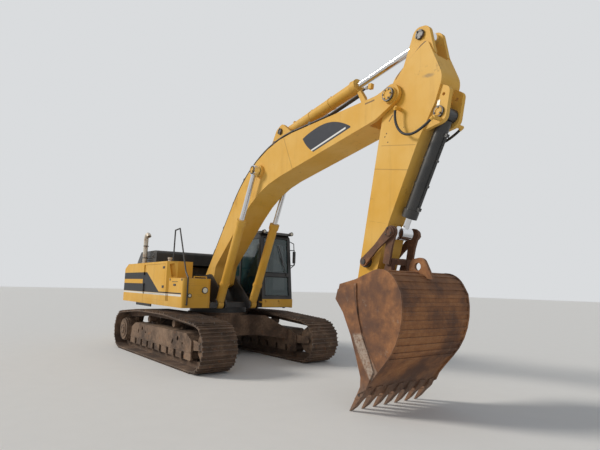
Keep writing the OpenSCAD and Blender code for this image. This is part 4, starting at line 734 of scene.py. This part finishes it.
def make_pin_caps():
    rusty, dark, yellow = range(3)
    bucket_hub = 0.288               # the bucket's ears end here, inside its side plates
    # spot, the face that carries the cap or the nodes that do, radius, bolts, look
    caps = {
        "boom": [((BOOM_LENGTH, 0), ["boom", "stick"], 0.092, 6, yellow),
                 (LIFT_EYE, ["boom", "boom_rods"], 0.072, 3, yellow), (STICK_BASE, ["boom"], 0.068, 3, dark)],
        "stick": [(STICK_EYE, ["stick"], 0.078, 4, dark), (BUCKET_BASE, ["stick_ears"], 0.066, 3, yellow)],
        "upper": [(tuple(FOOT), ["deck"], 0.085, 4, dark), (LIFT_FOOT, ["deck"], 0.080, 4, dark)],
        "bucket": [((0.0, 0.0), bucket_hub, 0.080, 4, rusty), (BUCKET_EAR, bucket_hub, 0.068, 4, rusty)],
        "idler_links": [((IDLER_LENGTH, 0.0), ["idler_links"], 0.070, 3, rusty)],
    }
    for body, rows in caps.items():
        p = Piece("pin_caps_" + body, body, "rust", "dark_steel", "yellow")
        for spot, seat, radius, bolts, look in rows:
            for side in SIDES:
                face = seat if isinstance(seat, float) else outer_face(seat, body, spot, side, radius * 0.35)
                p.cap(spot, side, face, radius, look, bolts)
                if look == yellow:
                    rim = [(0, radius + 0.020), (0.020, radius + 0.020), (0.023, radius + 0.016), (0.023, 0.01)]
                    p.turned((spot[0], side * (face - SUNK), spot[1]), (0, side, 0), rim, 32, dark)
        p.done()


def make_wheel_hubs():
    # node at whose middle the cap sits, nodes that carry it, radius and bolts
    hubs = (("idlers", ["idlers", "track_frame_right", "track_frame_left"], 0.085, 6),
            ("sprockets", ["final_drives"], 0.120, 8))
    p = Piece("wheel_hubs", "undercarriage", "wheel", "dark_steel")
    for side in SIDES:
        for name, cover, radius, bolts in hubs:
            spot = local_middle(name, "undercarriage", side)
            p.cap(spot, side, outer_face(cover, "undercarriage", spot, side, 0.02), radius, 0, bolts)
    p.done()


# ---------------------------------------------------------------- seat
CAB_FLOOR = 1.440
SEAT_ACROSS = 1.05                   # the seat's middle
PIPING = 0.0045
STITCH_WIDTH = 0.011


def cushion_point(a, b, c, half, crown, round_by=4.5):
    """A point of a crowned pad, whose corners pull in and whose broad faces swell. a, b, c run from -1 to 1."""
    pull = (abs(a) ** round_by + abs(b) ** round_by + abs(c) ** round_by) ** (1 / round_by)
    p = Vector((a * half[0], b * half[1], c * half[2])) / pull
    swell = (1 - (a / pull) ** 2) * (1 - (b / pull) ** 2)
    p.z += math.copysign(crown * swell, c) * abs(c / pull) ** 3
    waist = 1 - 0.035 * (1 - (c / pull) ** 2)
    return Vector((p.x * waist, p.y * waist, p.z))


def stitch(away, depth, along):
    """Depth of a sewn channel at a distance from its line. It fades where along nears -1 or 1, its ends."""
    return depth * math.exp(-(away / STITCH_WIDTH) ** 2) * (1 - abs(along) ** 6)


def make_cushion(name, middle, half, crown, lean, channels):
    """A foam pad with piping round its seams and sewn channels across its face. lean is its tilt in degrees."""
    place = Matrix.Translation(middle) @ tilt(lean)
    mesh = bmesh.new()
    bmesh.ops.create_cube(mesh, size=2.0)
    bmesh.ops.subdivide_edges(mesh, edges=mesh.edges[:], cuts=27, use_grid_fill=True)
    for v in mesh.verts:
        a, b, c = v.co
        p = cushion_point(a, b, c, half, crown)
        if c > 0.5:
            for line in channels:
                p.z -= stitch(p.x - line * half[0], 0.011, b)
            p.z -= stitch(abs(p.y) - 0.62 * half[1], 0.008, a)
        p.z += 0.0022 * math.sin(37 * p.x + 11 * p.y) * math.sin(29 * p.y - 7 * p.x) * abs(c)
        v.co = p
    bmesh.ops.transform(mesh, matrix=place, verts=mesh.verts)
    foam = Piece(name, "upper", "cloth")
    foam.gather(mesh, 0, smooth=True)
    pad = foam.done()
    piping = Piece(name + "_piping", "upper", "rubber")
    for level in (0.62, -0.62):
        ring = []
        for i in range(96):
            t = 2 * math.pi * (i + 0.5) / 96
            a, b = math.cos(t), math.sin(t)
            big = max(abs(a), abs(b))
            ring.append(place @ cushion_point(a / big, b / big, level, half, crown))
        piping.pipe(ring, PIPING, 0, 6, closed=True)
    piping.done()
    return pad


def make_seat():
    """Driver's seat: pads on a base with a bellows, between the cab's floor and the top of the backrest."""
    mid = SEAT_ACROSS
    pad = make_cushion("seat_pad", (0.03, mid, 1.872), (0.235, 0.222, 0.062), crown=0.022, lean=4.0,
                       channels=(-0.35, 0.35))
    make_cushion("seat_back", (-0.225, mid, 2.235), (0.290, 0.212, 0.055), crown=0.020, lean=80.0,
                 channels=(-0.45, 0.0, 0.45))
    make_cushion("seat_headrest", (-0.247, mid, 2.570), (0.048, 0.135, 0.042), crown=0.012, lean=84.0,
                 channels=())
    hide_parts("seat")
    p = Piece("seat_stand", "upper", "black", "rubber", "dark_steel")
    foot_top, folds, fold = 1.500, 6, 0.042
    p.block((-0.19, mid - 0.19, CAB_FLOOR - 0.004), (0.21, mid + 0.19, foot_top), 0.008)
    for i in range(folds):
        low = foot_top + i * fold
        grow = 0.012 if i % 2 else 0.0
        half = 0.165 + grow
        p.block((-0.16 - grow, mid - half, low), (0.18 + grow, mid + half, low + 0.040), 0.012, 1)
    p.block((-0.21, mid - 0.20, 1.752), (0.24, mid + 0.20, 1.812), 0.010)
    p.block((-0.325, mid - 0.19, 1.80), (-0.285, mid + 0.19, 2.46), 0.012)
    for post, outer in ((0.833, 0.811), (1.247, 1.293)):
        p.block((-0.20, post - 0.012, 2.02), (0.16, outer, 2.07), 0.010, 1)
        p.block((-0.24, post - 0.010, 1.80), (-0.19, post + 0.010, 2.06), 0.006, 2)
    for y in (mid - 0.04, mid + 0.04):
        p.pipe([(-0.262, y, 2.46), (-0.260, y, 2.50), (-0.256, y, 2.55)], 0.006, 2)
    p.done()


# ---------------------------------------------------------------- cab
def make_roof_lamps():
    p = Piece("roof_lamps", "upper", "dark_steel", "lamp")
    front, height = 1.110, 3.124
    for y in (0.63, 1.47):
        p.turned((front, y, height), AHEAD, [(0, 0.052), (0.017, 0.052), (0.020, 0.047), (0.020, 0.040)], 24, 0)
        p.turned((front + 0.008, y, height), AHEAD,
                 [(0, 0.041), (0.010, 0.038), (0.015, 0.026), (0.017, 0.002)], 24, 1)
    p.done()


def make_mirror_face():
    p = Piece("mirror_face", "upper", "rod", "rubber")
    p.block((1.1235, 1.523, 2.368), (1.1275, 1.577, 2.656), 0.0015, 0)
    p.block((1.1255, 1.517, 2.361), (1.1300, 1.583, 2.663), 0.0020, 1)
    p.done()


def make_door_handle():
    p = Piece("cab_door_handle", "cab_door", "dark_steel", "rubber")
    p.block((0.800, 1.498, 1.560), (0.930, 1.506, 1.625), 0.003, 1)
    height = 1.593
    bow = ((0.815, 1.503), (0.820, 1.530), (0.910, 1.530), (0.915, 1.503))
    p.pipe([(x, y, height) for x, y in bow], 0.009, 0)
    p.done()


def screen_front(z):
    """How far forward the leaning windscreen's rubber lies at a height."""
    return 1.170 - 0.180 * (z - CAB_FLOOR) / 1.640 - 0.004


def make_screen_gaskets():
    p = Piece("screen_gaskets", "upper", "rubber")
    right, left, inset = 0.690, 1.410, 0.012
    for low, high in ((1.500, 2.000), (2.080, 2.990)):
        foot, head = screen_front(low), screen_front(high)
        ring = [Vector((foot, right, low + inset)), Vector((foot, left, low + inset)),
                Vector((head, left, high - inset)), Vector((head, right, high - inset))]
        for a, b in zip(ring, ring[1:] + ring[:1]):
            p.pipe([a, (a + b) / 2, b], 0.010, 0, 8)
    p.done()


def make_monitor():
    p = Piece("cab_monitor", "upper", "black", "glass", "rubber")
    lean = tilt(-12)
    p.block((0.760, 0.700, 1.960), (0.800, 0.900, 2.110), 0.010, 0, lean)
    p.block((0.750, 0.715, 1.978), (0.766, 0.885, 2.096), 0.004, 1, lean)
    stem = [(0.790, 0.800, 1.965), (0.880, 0.790, 1.800), (0.950, 0.770, 1.500), (0.960, 0.765, CAB_FLOOR)]
    p.pipe(stem, 0.018, 0)
    p.done()


def make_lever_grips():
    """Grips on the two side levers, and on the two travel levers, which lean back."""
    p = Piece("lever_grips", "upper", "rubber")
    for y in (0.735, 1.355):
        p.turned((0.288, y, 2.235), (0.18, 0, 1),
                 [(0, 0.016), (0.012, 0.024), (0.060, 0.020), (0.100, 0.028), (0.118, 0.020)], 16)
    for y in (0.98, 1.12):
        p.turned((0.655, y, 2.045), (-0.3, 0, 1),
                 [(0, 0.016), (0.010, 0.022), (0.070, 0.019), (0.095, 0.024), (0.105, 0.012)], 16)
    p.done()


# ---------------------------------------------------------------- housings, tool box and hood
def lay_studs(piece, corner, pitch, count, offset, profile, look):
    """Rows of round studs on a level plate. Every second row is shifted across by offset."""
    x, y, z = corner
    rows, columns = count
    for i in range(rows):
        for j in range(columns):
            piece.turned((x + i * pitch[0], y + j * pitch[1] + (i % 2) * offset, z), UP, profile, 8, look)


def make_tool_box_details():
    """Lamp rims on the front, studs on the lid, and a latch, its seal and two hinge plates on the side."""
    p = Piece("tool_box_details", "upper", "yellow", "dark_steel", "black", "rubber")
    for y, z, radius in ((-0.921, 1.614, 0.058), (-1.286, 1.492, 0.032)):
        p.turned((1.119, y, z), AHEAD, [
            (0, radius + 0.016), (0.026, radius + 0.016), (0.031, radius + 0.010), (0.031, radius + 0.001),
            (0.004, radius + 0.001)], 28, 1)
    stud = [(0, 0.016), (0.006, 0.013), (0.007, 0.008)]
    lay_studs(p, (0.345, -1.330, 1.879), (0.062, 0.068), (12, 8), 0.02, stud, 1)
    face = -1.4485
    p.block((0.46, -1.4560, 1.790), (0.80, face, 1.800), 0.002, 3)
    p.block((0.56, -1.4620, 1.700), (0.70, face, 1.745), 0.004, 2)
    for x in (0.30, 1.02):
        p.block((x, -1.4570, 1.820), (x + 0.05, face, 1.868), 0.003, 1)
    p.done()


def make_grip_plates():
    p = Piece("top_grip_plates", "upper", "dark_steel")
    pitch, rim = 0.055, 0.03
    stud = [(0, 0.013), (0.007, 0.010), (0.008, 0.006)]
    for back, front in ((-1.58, -1.14), (-1.10, -0.66), (-0.62, -0.36)):
        p.block((back, -1.400, 2.2895), (front, -0.930, 2.296), 0.002)
        rows = int((front - back - 2 * rim) / pitch) + 1
        lay_studs(p, (back + rim, -1.365, 2.294), (pitch, 0.057), (rows, 8), 0.014, stud, 0)
    p.done()


def make_door_latches():
    p = Piece("right_door_latch", "door_right", "black", "dark_steel")
    for z in (1.640, 2.110):
        p.block((-0.210, -1.4570, z), (-0.085, -1.4490, z + 0.060), 0.003, 0)
        p.block((-0.195, -1.4640, z + 0.014), (-0.120, -1.4540, z + 0.046), 0.004, 1)
    p.done()


def make_left_louvres():
    """Slats in a frame on the left door, and its latch."""
    p = Piece("left_door_louvres", "door_left", "yellow", "black")
    for i in range(11):
        z = 1.640 + i * 0.044
        p.block((-1.48, 1.445, z), (-1.04, 1.466, z + 0.012), 0.003, 0, tilt(-28, "X"))
    inner, outer, bar = 1.447, 1.462, 0.016
    for z in (1.610, 2.140):
        p.block((-1.50, inner, z), (-1.02, outer, z + bar), 0.003)
    for x in (-1.505, -1.035):
        p.block((x, inner, 1.610), (x + bar, outer, 2.140 + bar), 0.003)
    p.block((-0.99, 1.4485, 1.860), (-0.90, 1.4600, 1.910), 0.003, 1)
    p.done()


def make_hood_louvres():
    """Three rows of slats and a handle on each side of the hood."""
    p = Piece("hood_louvres", "hood", "hood", "dark_steel")
    across, half_thick, handle_x = 1.156, 0.012, -1.78
    handle = ((1.145, 2.46), (1.182, 2.46), (1.182, 2.56), (1.145, 2.56))
    for side in SIDES:
        inner, outer = side * across - half_thick, side * across + half_thick
        for i in range(7):
            x = -2.95 + i * 0.145
            for z in (2.390, 2.440, 2.490):
                p.block((x, inner, z), (x + 0.105, outer, z + 0.014), 0.003, 0, tilt(24 * side, "X"))
        p.pipe([(handle_x, side * y, z) for y, z in handle], 0.009, 1)
    p.done()


def make_exhaust_bands():
    p = Piece("exhaust_bands", "upper", "dark_steel")
    x, y = -2.25, -1.27
    for z in (2.44, 2.78):
        p.turned((x, y, z), UP, [(0, 0.063), (0.002, 0.067), (0.026, 0.067), (0.028, 0.063)], 32)
        p.block((x - 0.012, y + 0.064, z + 0.002), (x + 0.012, y + 0.084, z + 0.026), 0.003)
    p.done()


# ---------------------------------------------------------------- boom, stick and bucket
def make_boom_fittings():
    """The pipes' ends at the boom's tip, each with a nut and a block."""
    p = Piece("boom_tip_fittings", "boom", "steel", "yellow", "dark_steel")
    nut = [(0, 0.024), (0.008, 0.030), (0.052, 0.030), (0.058, 0.024)]
    for side in SIDES:
        y = side * 0.262
        p.pipe([(6.400, y, 0.560), (6.440, y, 0.553), (6.490, y, 0.536), (6.545, y, 0.508)], 0.018, 2)
        p.turned((6.470, y, 0.545), (1, 0, -0.42), nut, 6, 0)
        p.block((6.535, y - 0.034, 0.440), (6.610, y + 0.034, 0.530), 0.006, 1, tilt(36))
    p.done()


def make_stick_plate():
    """A small bare plate with two rivets on the stick's right side."""
    p = Piece("stick_plate", "stick", "pipe", "dark_steel")
    middle = 0.875
    face = outer_face(["stick", "stick_ears"], "stick", (0.181, 0.873), -1)
    p.block((0.140, -face - 0.005, middle - 0.025), (0.222, -face + 0.002, middle + 0.025), 0.0015, 0)
    for x in (0.150, 0.212):
        p.turned((x, -face - 0.004, middle), (0, -1, 0), [(0, 0.005), (0.003, 0.005), (0.005, 0.002)], 8, 1)
    p.done()


def make_tooth_pins():
    """A pin's end on both sides of each tooth's shank."""
    p = Piece("tooth_pins", "bucket", "dark_steel")
    teeth, pitch, half_shank = 7, 0.235, 0.050
    for i in range(teeth):
        y = (i - (teeth - 1) / 2) * pitch
        for side in SIDES:
            p.turned((1.490, y + side * half_shank, 0.262), (0, side, 0),
                     [(0, 0.020), (0.016, 0.020), (0.020, 0.014), (0.020, 0.004)], 16)
    p.done()


make_seat()
make_pin_caps()
make_wheel_hubs()
make_roof_lamps()
make_mirror_face()
make_door_handle()
make_screen_gaskets()
make_monitor()
make_lever_grips()
make_tool_box_details()
make_grip_plates()
make_door_latches()
make_left_louvres()
make_hood_louvres()
make_exhaust_bands()
make_boom_fittings()
make_stick_plate()
make_tooth_pins()


# ---------------------------------------------------------------- floor, surroundings and lamps
FLOOR_REACH = 120.0
SOFT_LIGHT, SEEN_LIGHT = 0.30, 1.0


def make_floor():
    data = bpy.data.meshes.new("floor")
    corners = [(x * FLOOR_REACH, y * FLOOR_REACH, 0) for x, y in ((-1, -1), (1, -1), (1, 1), (-1, 1))]
    data.from_pydata(corners, [], [(0, 1, 2, 3)])
    s = Sheet("pale_floor")
    data.materials.append(s.finish(s.blend(s.noise(3.0, 4.0, 0.6), FLOOR, FLOOR_PALE), 0.9))
    new_object("floor", data)


def make_surroundings():
    """Soft light on the object, and a brighter plain backdrop in the picture, in reflections and in glass."""
    world = bpy.data.worlds.new("studio")
    bpy.context.scene.world = world
    world.use_nodes = True
    tree = world.node_tree
    tree.nodes.clear()
    rays = tree.nodes.new("ShaderNodeLightPath")
    soft, seen = tree.nodes.new("ShaderNodeBackground"), tree.nodes.new("ShaderNodeBackground")
    mix, out = tree.nodes.new("ShaderNodeMixShader"), tree.nodes.new("ShaderNodeOutputWorld")
    soft.inputs[0].default_value, soft.inputs[1].default_value = SKY_SOFT, SOFT_LIGHT
    seen.inputs[0].default_value, seen.inputs[1].default_value = SKY_SEEN, SEEN_LIGHT
    shown = rays.outputs["Is Camera Ray"]
    for kind in ("Is Glossy Ray", "Is Transmission Ray"):
        either = tree.nodes.new("ShaderNodeMath")
        either.operation = "MAXIMUM"
        tree.links.new(shown, either.inputs[0])
        tree.links.new(rays.outputs[kind], either.inputs[1])
        shown = either.outputs[0]
    for source, socket in zip((shown, soft.outputs[0], seen.outputs[0]), mix.inputs):
        tree.links.new(source, socket)
    tree.links.new(mix.outputs[0], out.inputs["Surface"])


def make_sun(name, towards, spread, strength, colour):
    """Parallel light from the direction towards, softened by its spread in degrees."""
    data = bpy.data.lights.new(name, "SUN")
    data.energy, data.color, data.angle = strength, colour, math.radians(spread)
    new_object(name, data).rotation_euler = Vector(towards).to_track_quat("Z", "Y").to_euler()


make_floor()
make_surroundings()
make_sun("key", towards=(-0.62, -0.80, 0.58), spread=16.0, strength=2.15, colour=SUNLIGHT)
make_sun("fill", towards=(0.75, -0.45, 0.50), spread=60.0, strength=0.30, colour=SKYLIGHT)
bpy.context.scene.view_settings.view_transform = "Standard"
